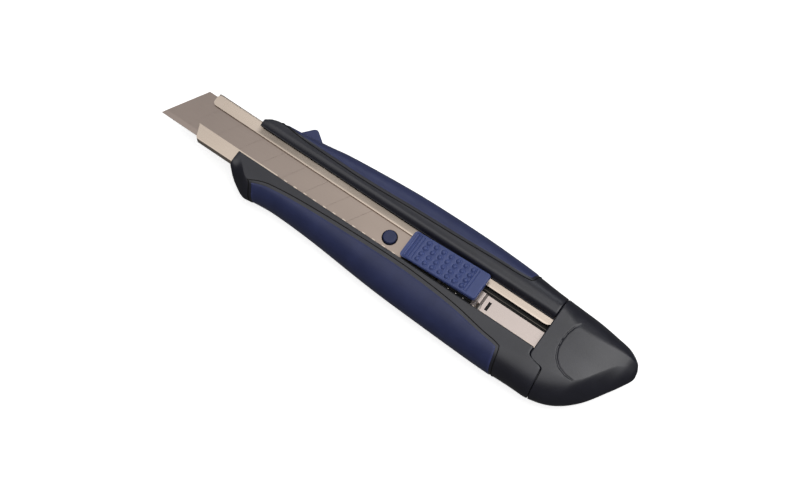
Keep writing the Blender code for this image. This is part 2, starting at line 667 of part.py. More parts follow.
def end_cap(home):
    cap = form("end_cap", GRIP_PROUD, SEAM_X - 1.0, CAP_END_X, home)
    cap = keep(cap, plate("cap_side", cap_outline(0.0), -5.0, 40.0, home))
    room = form("room", CAP_WALL + GRIP_PROUD, SEAM_X - 2.0, CAP_END_X - 2.5, home)
    return finish(cut(cap, room), "end_cap", BLACK)


# ---- slider pieces ---------------------------------------------------------------------
def blade(home):
    half = BLADE_WIDTH / 2
    mid = BLADE_Z + BLADE_THICK / 2
    profile = [(-half, mid - EDGE_THICK / 2), (-half + EDGE_BEVEL, BLADE_Z), (half, BLADE_Z),
               (half, BLADE_TOP_Z), (-half + EDGE_BEVEL, BLADE_TOP_Z), (-half, mid + EDGE_THICK / 2)]
    piece = beam("blade", profile, TIP_X - 1.0, BLADE_REAR_X + 1.0, home)
    lean = BLADE_WIDTH / tan(radians(SCORE_ANGLE))
    reach = lean / BLADE_WIDTH
    blank = [(TIP_X - reach, -half - 1.0), (BLADE_REAR_X, -half - 1.0),
             (BLADE_REAR_X, half + 1.0), (TIP_X + lean + reach, half + 1.0)]
    piece = keep(piece, plate("blank", blank, 0.0, 30.0, home))
    for k in range(1, SEGMENTS_SCORED + 1):
        x = TIP_X + SEGMENT_PITCH * k
        w = SCORE_WIDTH / 2
        line = [(x - w - reach, -half - 1.0), (x + w - reach, -half - 1.0),
                (x + w + lean + reach, half + 1.0), (x - w + lean + reach, half + 1.0)]
        piece = cut(piece, plate("score", line, BLADE_TOP_Z - SCORE_DEPTH, BLADE_TOP_Z + 1.0, home))
    piece = cut(piece, drum("hole", HOLE_X, 0.0, HOLE_RADIUS, 0.0, 30.0, home, 28))
    return finish(piece, "blade", BLADE_STEEL)


def blade_carrier(home):
    front = HOLE_X - PIN_RADIUS - CARRIER_NOSE
    rear = SLIDER_REAR_X - CARRIER_REAR_GAP
    tail_near = STRIP_FAR_Y + CLEAR
    outline = [(front + 1.0, CARRIER_NEAR_Y), (rear, CARRIER_NEAR_Y), (rear, tail_near),
               (STRIP_REAR_X, tail_near), (STRIP_REAR_X, TAIL_FAR_Y), (rear, TAIL_FAR_Y),
               (rear - 2.0, CARRIER_FAR_Y), (front + CARRIER_CORNER, CARRIER_FAR_Y),
               (front, CARRIER_FAR_Y - CARRIER_CORNER), (front, CARRIER_NEAR_Y + 1.0)]
    carrier = plate("blade_carrier", outline, CARRIER_Z, CARRIER_Z + CARRIER_THICK, home)
    pin = drum("pin", HOLE_X, 0.0, PIN_RADIUS, CARRIER_Z + CARRIER_THICK / 2,
               BLADE_TOP_Z + PIN_PROUD, home, 28)
    return finish(join(carrier, pin), "blade_carrier", BLUE_HARD)


def slider_base(home):
    """Base of the slider: a plate over the lips, webs between them, wings under them."""
    front = SLIDER_FRONT_X + BASE_FRONT_GAP
    rear = SLIDER_REAR_X - BASE_REAR_GAP
    near = BUTTON_NEAR_Y + BASE_SIDE_GAP
    far = BUTTON_NEAR_Y + BUTTON_WIDTH - BASE_SIDE_GAP
    web_near = NEAR_LIP_Y + CLEAR
    web_far = FAR_LIP_Y - CLEAR
    web_top = BASE_TOP_Z - 0.3
    wing = RAIL_HALF - BASE_WING_INSET
    tail = rear - BASE_TAIL
    base = box("slider_base", (front, near, RAIL_TOP_Z + CLEAR), (rear, far, BASE_TOP_Z), home)
    base = join(base, box("web", (front, web_near, BLADE_Z), (tail + 0.5, web_far, web_top), home))
    base = join(base, box("web_rear", (tail - 0.5, web_near, BLADE_TOP_Z + CLEAR),
                          (rear, web_far, web_top), home))
    base = join(base, box("wings", (front, -wing, BLADE_Z), (tail, wing, BLADE_TOP_Z), home))
    way = PAWL_WIDTH / 2 + PAWL_WAY_SPARE
    base = cut(base, box("pawl_way", (PAWL_X - way, -RAIL_HALF, 0.0),
                         (PAWL_X + way, NEAR_LIP_Y + 2.2, 30.0), home))
    base = cut(base, drum("spring_seat", SPRING_X, SPRING_Y, SPRING_RADIUS + SPRING_WIRE + CLEAR,
                          SPRING_LOW_Z - SPRING_WIRE - CLEAR, 30.0, home))
    base = cut(base, drum("bore", STRIP_RIVET_X, STRIP_RIVET_Y, STRIP_RIVET_RADIUS + CLEAR, 0.0,
                          web_top, home, 16))
    return finish(base, "slider_base", BLACK)


def slider_button(home):
    front, rear = SLIDER_FRONT_X, SLIDER_REAR_X
    near0 = BUTTON_NEAR_Y
    near1 = BUTTON_NEAR_Y + BUTTON_YAW
    slope = (BUTTON_REAR_TOP_Z - BUTTON_FRONT_TOP_Z) / (rear - front)
    brow = front + 3.0
    brow_top = BUTTON_FRONT_TOP_Z + slope * (brow - front)
    rings = []
    for x, top in ((front, BUTTON_BOTTOM_Z + 0.7), (brow, brow_top), (rear, BUTTON_REAR_TOP_Z)):
        y0 = near0 + (near1 - near0) * (x - front) / (rear - front)
        y1 = y0 + BUTTON_WIDTH
        rings.append([(x, y0, BUTTON_BOTTOM_Z), (x, y1, BUTTON_BOTTOM_Z), (x, y1, top), (x, y0, top)])
    button = bevelled(loft("slider_button", rings, home), BUTTON_EDGE, 2)
    button = cut(button, drum("spring_seat", SPRING_X, SPRING_Y, SPRING_RADIUS + SPRING_WIRE + CLEAR,
                              0.0, SPRING_HIGH_Z + SPRING_WIRE + CLEAR, home))
    return finish(button, "slider_button", BLUE_HARD)


def button_spring(home):
    curve = bpy.data.curves.new("button_spring", "CURVE")
    curve.dimensions = "3D"
    curve.bevel_depth = SPRING_WIRE / 2 * MM
    curve.bevel_resolution = 1
    curve.use_fill_caps = True
    steps = 10
    count = SPRING_TURNS * steps + 1
    spline = curve.splines.new("POLY")
    spline.points.add(count - 1)
    for k, point in enumerate(spline.points):
        a = 2 * pi * k / steps
        z = SPRING_LOW_Z + (SPRING_HIGH_Z - SPRING_LOW_Z) * k / (count - 1)
        point.co = (SPRING_RADIUS * cos(a) * MM, SPRING_RADIUS * sin(a) * MM, z * MM, 1.0)
    obj = bpy.data.objects.new("button_spring", curve)
    obj.location = (SPRING_X * MM, SPRING_Y * MM, 0.0)
    home.objects.link(obj)
    bpy.context.view_layer.update()
    return finish(to_mesh(obj), "button_spring", STEEL)


def lock_pawl(home):
    tip = NEAR_LIP_Y - NOTCH_DEPTH + CLEAR
    stem = NEAR_LIP_Y + 0.5
    top = BUTTON_BOTTOM_Z - CLEAR
    profile = [(tip, LIP_Z), (stem + 0.9, LIP_Z), (stem + 0.9, top), (stem, top),
               (stem, RAIL_TOP_Z + 0.1), (tip, RAIL_TOP_Z + 0.1)]
    pawl = beam("lock_pawl", profile, PAWL_X - PAWL_WIDTH / 2, PAWL_X + PAWL_WIDTH / 2, home)
    return finish(pawl, "lock_pawl", STEEL)


def lock_spring(home):
    """Steel leaf along the cutting side of the slider base, bowed out in the middle."""
    front = SLIDER_FRONT_X + LEAF_FRONT_GAP
    rear = SLIDER_REAR_X - LEAF_REAR_GAP
    outside = []
    inside = []
    for k in range(13):
        share = k / 12
        x = front + (rear - front) * share
        y = BUTTON_NEAR_Y - 0.25 - LEAF_BOW * sin(pi * share) ** 2
        outside.append((x, y - LEAF_THICK / 2))
        inside.append((x, y + LEAF_THICK / 2))
    leaf = plate("lock_spring", outside + inside[::-1], RAIL_TOP_Z + CLEAR, BASE_TOP_Z, home)
    return finish(leaf, "lock_spring", STEEL)


def tail_strip(home):
    """Strip behind the slider: riveted under its tail, then stepped down to the carrier's level."""
    step = SLIDER_REAR_X + JOGGLE_GAP
    thick = STRIP_THICK
    profile = [(STRIP_FRONT_X, BLADE_Z), (step, BLADE_Z), (step + JOGGLE_LENGTH, CARRIER_Z),
               (STRIP_REAR_X, CARRIER_Z), (STRIP_REAR_X, CARRIER_Z + thick),
               (step + JOGGLE_LENGTH, CARRIER_Z + thick), (step, BLADE_Z + thick),
               (STRIP_FRONT_X, BLADE_Z + thick)]
    rings = [[(x, y, z) for x, z in profile] for y in (STRIP_NEAR_Y, STRIP_FAR_Y)]
    strip = loft("tail_strip", rings, home)
    corner = STRIP_REAR_X - STRIP_CORNER
    outline = [(STRIP_FRONT_X - 1.0, STRIP_NEAR_Y - 1.0), (corner - 1.0, STRIP_NEAR_Y - 1.0),
               (STRIP_REAR_X + 1.0, STRIP_NEAR_Y + STRIP_CORNER + 1.0),
               (STRIP_REAR_X + 1.0, STRIP_FAR_Y - STRIP_CORNER - 1.0),
               (corner - 1.0, STRIP_FAR_Y + 1.0), (STRIP_FRONT_X - 1.0, STRIP_FAR_Y + 1.0)]
    strip = keep(strip, plate("corners", outline, 0.0, 30.0, home))
    window = SLIDER_REAR_X + WINDOW_GAP
    strip = cut(strip,
                box("window", (window, STRIP_NEAR_Y + WINDOW_NEAR_RIM, 0.0),
                    (window + WINDOW_LENGTH, STRIP_FAR_Y - WINDOW_FAR_RIM, 30.0), home),
                drum("bore", STRIP_RIVET_X, STRIP_RIVET_Y, STRIP_RIVET_RADIUS + CLEAR, 0.0, 30.0,
                     home, 16))
    return finish(strip, "tail_strip", STEEL)


def strip_rivet(home):
    rivet = drum("shank", STRIP_RIVET_X, STRIP_RIVET_Y, STRIP_RIVET_RADIUS, CARRIER_Z + 0.2,
                 BASE_TOP_Z - 2 * CLEAR, home, 16)
    rivet = join(rivet, drum("head", STRIP_RIVET_X, STRIP_RIVET_Y, STRIP_RIVET_HEAD, CARRIER_Z,
                             BLADE_Z - CLEAR, home, 20))
    return finish(rivet, "strip_rivet", STEEL)


# ---- the knife -------------------------------------------------------------------------
for old in list(bpy.data.objects):
    bpy.data.objects.remove(old)

BLACK = material("hard_black", (0.018, 0.018, 0.020), 0.42)
BLUE_SOFT = material("soft_blue", (0.028, 0.036, 0.150), 0.50)
BLUE_HARD = material("hard_blue", (0.055, 0.062, 0.230), 0.42)
STEEL = material("rail_steel", (0.62, 0.58, 0.53), 0.28, 1.0)
BLADE_STEEL = material("blade_steel", (0.42, 0.38, 0.35), 0.34, 1.0)

knife = collection("utility_knife")
body_shell(knife)
underside_cover(knife)
near_grip(knife)
far_grip(knife)
blade_rail(knife)
for number, (screw_x, screw_y) in enumerate(SCREW_PLACES, 1):
    cover_screw(number, screw_x, screw_y, knife)
rail_rivet("rail_rivet_front", RIVET_PLACES[0], knife)
rail_rivet("rail_rivet_rear", RIVET_PLACES[1], knife)
blade(knife)
blade_carrier(knife)
slider_base(knife)
slider_button(knife)
button_spring(knife)
lock_pawl(knife)
lock_spring(knife)
tail_strip(knife)
strip_rivet(knife)
end_cap(knife)
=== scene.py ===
"""Looks of the snap-off utility knife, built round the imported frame.

Lengths in the tables and constants below are millimetres in the frame's own axes:
+X from the blade's tip to the end cap, +Y from the cutting edge to the spine, +Z up.
"""
from math import asin, cos, pi, radians, sin, sqrt, tan

import bmesh
import bpy
from mathutils import Matrix, Vector


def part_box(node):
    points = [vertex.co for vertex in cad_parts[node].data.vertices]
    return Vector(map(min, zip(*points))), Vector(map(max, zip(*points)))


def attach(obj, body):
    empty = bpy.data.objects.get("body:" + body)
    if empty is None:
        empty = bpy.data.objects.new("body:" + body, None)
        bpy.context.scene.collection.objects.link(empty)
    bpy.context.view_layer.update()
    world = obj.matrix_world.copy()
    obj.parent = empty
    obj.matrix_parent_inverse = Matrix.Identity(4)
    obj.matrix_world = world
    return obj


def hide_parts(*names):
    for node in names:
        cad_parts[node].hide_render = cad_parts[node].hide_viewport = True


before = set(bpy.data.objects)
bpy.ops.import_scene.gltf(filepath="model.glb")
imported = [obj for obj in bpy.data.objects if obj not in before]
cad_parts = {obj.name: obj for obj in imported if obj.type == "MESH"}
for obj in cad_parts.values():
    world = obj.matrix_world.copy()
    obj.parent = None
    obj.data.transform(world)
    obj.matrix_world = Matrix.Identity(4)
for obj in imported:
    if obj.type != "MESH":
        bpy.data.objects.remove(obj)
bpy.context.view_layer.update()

MM = 0.001


def node_mm(name):
    """Lowest and highest corner of a CAD node, in mm."""
    low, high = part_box(name)
    return low / MM, high / MM


# ---- sizes taken from the frame, and the handle's outline rules ----
RAIL_LOW, RAIL_HIGH = node_mm("blade_rail")
BLADE_LOW, BLADE_HIGH = node_mm("blade")
BUTTON_LOW, BUTTON_HIGH = node_mm("slider_button")
CAP_LOW, CAP_HIGH = node_mm("end_cap")
BODY_LOW, BODY_HIGH = node_mm("body_shell")
STRIP_LOW, STRIP_HIGH = node_mm("tail_strip")
CARRIER_LOW, CARRIER_HIGH = node_mm("blade_carrier")

CLEAR = 0.3  # play between neighbours
SHEET = 0.7  # thickness of the rail's steel
FLOOR_THICK = 1.5
ROOF_THICK = 1.5
NEAR_LIP_WIDTH = 6.2
FAR_LIP_WIDTH = 5.3
RAIL_HALF = RAIL_HIGH.y
RAIL_TOP = RAIL_HIGH.z
FLOOR_TOP = RAIL_LOW.z - CLEAR
FLOOR_Z = FLOOR_TOP - FLOOR_THICK
FRONT_X = BODY_LOW.x
SEAM_X = CAP_LOW.x
HANDLE_LENGTH = SEAM_X - FRONT_X
CAP_LENGTH = CAP_HIGH.x - SEAM_X
CAP_STEP = 7.0
NEAR_BULGE = 11.1
FAR_BULGE = 12.3
HANDLE_TOP = RAIL_TOP + CLEAR + ROOF_THICK
TOP_ARCH = 1.2
SLOT_NEAR = -5.2
SLOT_FAR = 9.4
NEAR_LIP_Y = -RAIL_HALF + NEAR_LIP_WIDTH
FAR_LIP_Y = RAIL_HALF - FAR_LIP_WIDTH

# Outline rules: (share along the handle or the cap, value). The sides are shares of the
# bulges, the rises and drops are shares of a height, and the edges are breadths in mm.
NEAR_SIDE = [(0.0, 0.0), (0.012, 0.11), (0.03, 0.32), (0.055, 0.53), (0.087, 0.70), (0.125, 0.58),
             (0.18, 0.52), (0.31, 0.58), (0.53, 0.81), (0.70, 0.91), (0.90, 0.99),
             (1.0, 0.97)]
FAR_SIDE = [(0.0, 0.10), (0.01, 0.13), (0.022, 0.22), (0.045, 0.37), (0.12, 0.51), (0.2, 0.65),
            (0.27, 0.78), (0.47, 0.96), (0.60, 1.0), (0.74, 0.99), (0.87, 0.92),
            (1.0, 0.79)]
CAP_NEAR_SIDE = [(0.0, 0.97), (0.22, 0.95), (0.47, 0.67), (0.69, 0.05), (0.88, -0.90),
                 (0.97, -1.42), (1.0, -1.62)]
CAP_FAR_SIDE = [(0.0, 0.79), (0.38, 0.75), (0.68, 0.63), (0.82, 0.54), (0.94, 0.32),
                (0.985, 0.12), (1.0, 0.0)]
TOP_RISE = [(0.0, 0.0), (0.3, 0.3), (0.7, 0.85), (1.0, 1.0)]
CHIN_RISE = [(0.0, 0.92), (0.04, 0.55), (0.09, 0.2), (0.14, 0.03), (0.17, 0.0), (1.0, 0.0)]
CAP_TOP_DROP = [(0.0, 0.0), (0.3, 0.07), (0.6, 0.24), (0.85, 0.52), (0.96, 0.80), (1.0, 1.0)]
CAP_TOP_DROP_Z = 7.5
CAP_TAIL_RISE = [(0.0, 0.0), (0.3, 0.03), (0.6, 0.2), (0.85, 0.55), (1.0, 1.0)]
CAP_TAIL_RISE_Z = 5.5
NEAR_EDGE = [(0.0, -5.9), (0.012, -6.0), (0.024, -6.7), (0.046, -9.5), (0.068, -12.2), (0.083, -12.3),
             (0.105, -10.8), (0.14, -9.6), (0.24, -8.7), (0.42, -7.8), (0.57, -7.5), (0.66, -8.1),
             (0.76, -9.4), (0.86, -11.6), (0.92, -11.6), (1.0, -10.0)]
CAP_NEAR_EDGE = [(0.0, -10.0), (0.3, -9.3), (0.45, -8.0), (0.52, -7.0), (0.6, -3.6), (0.7, 2.4),
                 (0.8, 7.6), (0.9, 9.6), (1.0, 10.0)]
FACET = [(0.0, 5.3), (0.012, 5.3), (0.024, 2.5), (0.04, 1.55), (0.08, 1.5), (0.16, 2.0), (1.0, 2.0)]
CAP_FACET = [(0.0, 2.0), (0.25, 1.7), (0.5, 1.45), (1.0, 1.5)]
CAP_FAR_FACET = [(0.0, 2.0), (0.3, 1.8), (1.0, 1.8)]
CAP_FAR_EDGE = [(0.0, 13.0), (0.1, 11.6), (0.22, 10.2), (0.5, 11.0), (0.79, 12.6), (1.0, 13.0)]
FAR_TILT = [(0.0, 0.6), (0.4, 0.6), (0.8, 0.25), (1.0, 0.0)]
FAR_SHOULDER = 13.0
BOTTOM_ROUND = 6.0
SKIN = 0.25  # the hard shell lies this far inside the CAD's outer form
LEAST_SHOULDER = 1.0  # the shoulders keep this far inside the widest lines
SHOULDER_GAP = 0.3  # and at least this far once the skin is taken off
NEAR_SHOULDER_SHARE = 0.6
FAR_SHOULDER_SHARE = 0.3
BOTTOM_SHARE = 0.3
WIDEST_SHARE = 0.46  # height of the widest line between bottom and top


def rule(points, share):
    """Smooth value at share along a short list of (share, value) points."""
    share = min(max(share, points[0][0]), points[-1][0])
    last = len(points) - 2
    k = 0
    while k < last and share > points[k + 1][0]:
        k += 1
    (x0, y0), (x1, y1) = points[k], points[k + 1]
    span = x1 - x0
    before = points[k - 1] if k else (x0 - span, y0)
    after = points[k + 2] if k < last else (x1 + span, y1)
    slope0 = (y1 - before[1]) / (x1 - before[0])
    slope1 = (after[1] - y0) / (after[0] - x0)
    t = (share - x0) / span
    h00 = 2 * t ** 3 - 3 * t ** 2 + 1
    h10 = t ** 3 - 2 * t ** 2 + t
    h01 = 3 * t ** 2 - 2 * t ** 3
    h11 = t ** 3 - t ** 2
    return h00 * y0 + h10 * span * slope0 + h01 * y1 + h11 * span * slope1


def smooth(t):
    """Smooth step from 0 to 1."""
    t = min(max(t, 0.0), 1.0)
    return t * t * (3 - 2 * t)


class Section:
    """The handle's cross section at x: sides, shoulders, top and bottom."""

    def __init__(self, x, inset=SKIN):
        if x <= SEAM_X:
            share = (x - FRONT_X) / HANDLE_LENGTH
            near = rule(NEAR_SIDE, share)
            far = rule(FAR_SIDE, share)
            self.top = HANDLE_TOP + TOP_ARCH * rule(TOP_RISE, share)
            self.bottom = FLOOR_Z * rule(CHIN_RISE, share)
            near_edge = rule(NEAR_EDGE, share)
            far_edge = FAR_SHOULDER
            self.bow = 2 / rule(FACET, share)
            self.far_bow = 1.0
            self.tilt = rule(FAR_TILT, share)
        else:
            share = (x - SEAM_X) / CAP_LENGTH
            near = rule(CAP_NEAR_SIDE, share)
            far = rule(CAP_FAR_SIDE, share)
            self.top = HANDLE_TOP + TOP_ARCH - CAP_TOP_DROP_Z * rule(CAP_TOP_DROP, share)
            self.bottom = CAP_TAIL_RISE_Z * rule(CAP_TAIL_RISE, share)
            near_edge = rule(CAP_NEAR_EDGE, share)
            far_edge = rule(CAP_FAR_EDGE, share)
            self.bow = 2 / rule(CAP_FACET, share)
            self.far_bow = 2 / rule(CAP_FAR_FACET, share)
            self.tilt = 0.0
        self.near = -(RAIL_HALF + NEAR_BULGE * near)
        self.far = RAIL_HALF + FAR_BULGE * far
        breadth = self.far - self.near
        self.near_shoulder = min(max(self.near + LEAST_SHOULDER, near_edge),
                                 self.near + NEAR_SHOULDER_SHARE * breadth)
        self.far_shoulder = self.far - min(max(LEAST_SHOULDER, self.far - far_edge),
                                           FAR_SHOULDER_SHARE * breadth)
        round_off = min(BOTTOM_ROUND, BOTTOM_SHARE * breadth)
        self.near_bottom = self.near + round_off
        self.far_bottom = self.far - round_off
        self.middle = self.bottom + (self.top - self.bottom) * WIDEST_SHARE
        self.near += inset
        self.far -= inset
        self.top -= inset
        self.bottom += inset
        self.near_shoulder = max(self.near_shoulder, self.near + SHOULDER_GAP)
        self.far_shoulder = min(self.far_shoulder, self.far - SHOULDER_GAP)
        self.near_bottom = max(self.near_bottom, self.near + SHOULDER_GAP)
        self.far_bottom = min(self.far_bottom, self.far - SHOULDER_GAP)

    def half(self, side):
        """Slot edge, shoulder, widest line, bottom edge, bow and tilt of one half."""
        if side == "near":
            return SLOT_NEAR, self.near_shoulder, self.near, self.near_bottom, self.bow, 0.0
        return SLOT_FAR, self.far_shoulder, self.far, self.far_bottom, self.far_bow, self.tilt

    def point(self, side, w):
        """w 0..1 along the top outwards, 1..2 down to the widest line, 2..3 under."""
        slot, shoulder, widest, bottom_edge, bow, tilt = self.half(side)
        if w <= 1.0:
            return slot + (shoulder - slot) * w, self.top - tilt * w
        if w <= 2.0:
            a = pi / 2 * (w - 1)
            return (shoulder + (widest - shoulder) * sin(a) ** bow,
                    self.middle + (self.top - tilt - self.middle) * max(0.0, cos(a)) ** bow)
        a = pi / 2 * (w - 2)
        return (bottom_edge + (widest - bottom_edge) * cos(a),
                self.middle + (self.bottom - self.middle) * sin(a))

    def top_w(self, side, y):
        """w on the top side of a half at breadth y."""
        slot, shoulder, widest, _, bow, _ = self.half(side)
        share = (y - slot) / (shoulder - slot)
        if share <= 1.0:
            return share
        part = min(1.0, (y - shoulder) / (widest - shoulder))
        return 1 + asin(part ** (1 / bow)) / (pi / 2)

    def low_w(self, z):
        """w on the under side at height z, the same for both halves."""
        return 2 + asin(min(1.0, max(0.0, (self.middle - z) / (self.middle - self.bottom)))) / (pi / 2)


# ---- mesh tools ----
SHARP = 35.0  # edges over this angle stay sharp, degrees
BEVEL_ANGLE = 30.0


def mesh_object(name, bm, sharp=SHARP):
    """Object from a bmesh in metres, shaded smooth but for its sharp edges."""
    bmesh.ops.recalc_face_normals(bm, faces=bm.faces)
    mesh = bpy.data.meshes.new(name)
    bm.to_mesh(mesh)
    bm.free()
    obj = bpy.data.objects.new(name, mesh)
    bpy.context.scene.collection.objects.link(obj)
    mesh.shade_smooth()
    mesh.set_sharp_from_angle(angle=radians(sharp))
    return obj


def rings_to_mesh(name, rings, sharp=SHARP):
    """Skin through closed rings of (x, y, z) points in mm, with both ends closed."""
    bm = bmesh.new()
    rows = [[bm.verts.new(Vector(point) * MM) for point in ring] for ring in rings]
    count = len(rows[0])
    for a, b in zip(rows, rows[1:]):
        for k in range(count):
            bm.faces.new((a[k], a[(k + 1) % count], b[(k + 1) % count], b[k]))
    bm.faces.new(rows[0])
    bm.faces.new(rows[-1])
    return mesh_object(name, bm, sharp=sharp)


def evaluated(obj):
    """Applies the object's modifiers and returns it."""
    graph = bpy.context.evaluated_depsgraph_get()
    graph.update()
    mesh = bpy.data.meshes.new_from_object(obj.evaluated_get(graph))
    obj.modifiers.clear()
    obj.data = mesh
    return obj


def boolean(obj, *cutters, operation="DIFFERENCE"):
    """Cuts each cutter from the object in turn, and removes the cutter."""
    for cutter in cutters:
        modifier = obj.modifiers.new("cut", "BOOLEAN")
        modifier.operation = operation
        modifier.object = cutter
        evaluated(obj)
        bpy.data.objects.remove(cutter)
    return obj


def bevel(obj, width, segments):
    """Rounds the edges by width mm and evens the shading of the flats."""
    modifier = obj.modifiers.new("bevel", "BEVEL")
    modifier.width = width * MM
    modifier.segments = segments
    modifier.limit_method = "ANGLE"
    modifier.angle_limit = radians(BEVEL_ANGLE)
    modifier.harden_normals = False
    evaluated(obj)
    obj.data.shade_smooth()
    obj.data.set_sharp_from_angle(angle=radians(SHARP))
    modifier = obj.modifiers.new("flats", "WEIGHTED_NORMAL")
    modifier.keep_sharp = True
    modifier.weight = 100
    return evaluated(obj)


def prism(name, outline, low, high):
    """Straight-sided piece over a closed plan outline, mm."""
    bm = bmesh.new()
    bottom = [bm.verts.new(Vector((x, y, low)) * MM) for x, y in outline]
    top = [bm.verts.new(Vector((x, y, high)) * MM) for x, y in outline]
    count = len(outline)
    bm.faces.new(bottom)
    bm.faces.new(top)
    for k in range(count):
        bm.faces.new((bottom[k], bottom[(k + 1) % count], top[(k + 1) % count], top[k]))
    return mesh_object(name, bm)


def beam(name, profile, x0, x1):
    """Straight piece along X with a closed (y, z) profile, mm."""
    return rings_to_mesh(name, [[(x0, y, z) for y, z in profile], [(x1, y, z) for y, z in profile]])


def block(name, low, high):
    """Box between two corners, mm."""
    outline = [(low[0], low[1]), (high[0], low[1]), (high[0], high[1]), (low[0], high[1])]
    return prism(name, outline, low[2], high[2])


def turned(name, x, y, profile, sides=48):
    """Round piece on an upright axis from (radius, z) points, first and last on the axis."""
    bm = bmesh.new()
    rows = []
    for radius, z in profile:
        if radius < 1e-6:
            rows.append([bm.verts.new(Vector((x, y, z)) * MM)])
        else:
            rows.append([bm.verts.new(Vector((x + radius * cos(2 * pi * k / sides),
                                              y + radius * sin(2 * pi * k / sides), z)) * MM)
                         for k in range(sides)])
    for a, b in zip(rows, rows[1:]):
        for k in range(sides):
            n = (k + 1) % sides
            if len(a) == 1:
                bm.faces.new((a[0], b[n], b[k]))
            elif len(b) == 1:
                bm.faces.new((a[k], a[n], b[0]))
            else:
                bm.faces.new((a[k], a[n], b[n], b[k]))
    return mesh_object(name, bm)


def dress(obj, material, body, slot, *replaced):
    """Gives a piece its material and body, and hides the CAD nodes it stands for; slot is not used."""
    obj.data.materials.clear()
    obj.data.materials.append(material)
    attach(obj, body)
    if replaced:
        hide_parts(*replaced)
    return obj


def refinish(material, *names):
    """New material for CAD nodes that stay as they are."""
    for name in names:
        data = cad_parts[name].data
        data.materials.clear()
        data.materials.append(material)


# ---- materials ----
MOTTLE_SCALE = 160.0  # noise scales are per metre
SMEAR_SCALE = 70.0
CLOUD_SCALE = 90.0
LINE_SCALE = 5200.0
LINE_STRETCH = 0.03  # the steel's fine lines are drawn out along X
LINE_HEIGHT = 1.2e-6  # metres
CLOUD_DEPTH = 0.05  # how far the clouding moves the roughness


def shader_tree(name):
    """New material with its nodes, links and main shader."""
    made = bpy.data.materials.new(name)
    made.use_nodes = True
    nodes = made.node_tree.nodes
    return made, nodes, made.node_tree.links, nodes["Principled BSDF"]


def noise(nodes, links, scale, detail=3.0, stretch=(1, 1, 1)):
    """Noise factor over the object's own coordinates."""
    place = nodes.new("ShaderNodeTexCoord")
    mapping = nodes.new("ShaderNodeMapping")
    mapping.inputs["Scale"].default_value = stretch
    texture = nodes.new("ShaderNodeTexNoise")
    texture.inputs["Scale"].default_value = scale
    texture.inputs["Detail"].default_value = detail
    links.new(place.outputs["Object"], mapping.inputs["Vector"])
    links.new(mapping.outputs["Vector"], texture.inputs["Vector"])
    return texture.outputs["Fac"]


def span(nodes, links, factor, low, high, start=0.3, end=0.7):
    """The factor's middle stretch mapped to the range low..high."""
    node = nodes.new("ShaderNodeMapRange")
    node.inputs["From Min"].default_value = start
    node.inputs["From Max"].default_value = end
    node.inputs["To Min"].default_value = low
    node.inputs["To Max"].default_value = high
    links.new(factor, node.inputs["Value"])
    return node.outputs["Result"]


def blend_colour(nodes, links, factor, first, second):
    """Mix of two colours by factor; the first may be another node's output."""
    node = nodes.new("ShaderNodeMix")
    node.data_type = "RGBA"
    if isinstance(first, tuple):
        node.inputs[6].default_value = (*first, 1.0)
    else:
        links.new(first, node.inputs[6])
    node.inputs[7].default_value = (*second, 1.0)
    links.new(factor, node.inputs[0])
    return node.outputs[2]


def bump(nodes, links, height, distance):
    """Normal from a height factor that stands for distance metres."""
    node = nodes.new("ShaderNodeBump")
    node.inputs["Distance"].default_value = distance
    node.inputs["Strength"].default_value = 1.0
    links.new(height, node.inputs["Height"])
    return node.outputs["Normal"]


def plastic(name, dark, light, roughness, grain, grain_height, sheen=0.0, painted_edge_highlight=None, gloss=0.5):
    """Moulded plastic: mottled colour, eroded-texture bump, and a paler colour on the edges that is a
    painted highlight.
    """
    made, nodes, links, shader = shader_tree(name)
    mottle = noise(nodes, links, MOTTLE_SCALE, 4.0)
    colour = blend_colour(nodes, links, span(nodes, links, mottle, 0.0, 1.0), dark, light)
    if painted_edge_highlight:
        # painted highlight: convex edges, found by pointiness, get a paler colour as if they caught the
        # light
        geometry = nodes.new("ShaderNodeNewGeometry")
        edge = span(nodes, links, geometry.outputs["Pointiness"], 0.0, 0.55, 0.515, 0.60)
        colour = blend_colour(nodes, links, edge, colour, painted_edge_highlight)
    links.new(colour, shader.inputs["Base Color"])
    smear = noise(nodes, links, SMEAR_SCALE, 3.0, (0.4, 1.0, 1.0))
    links.new(span(nodes, links, smear, roughness - 0.04, roughness + 0.05),
              shader.inputs["Roughness"])
    grains = noise(nodes, links, grain, 2.0)
    links.new(bump(nodes, links, grains, grain_height), shader.inputs["Normal"])
    shader.inputs["Sheen Weight"].default_value = sheen
    shader.inputs["Specular IOR Level"].default_value = gloss
    return made


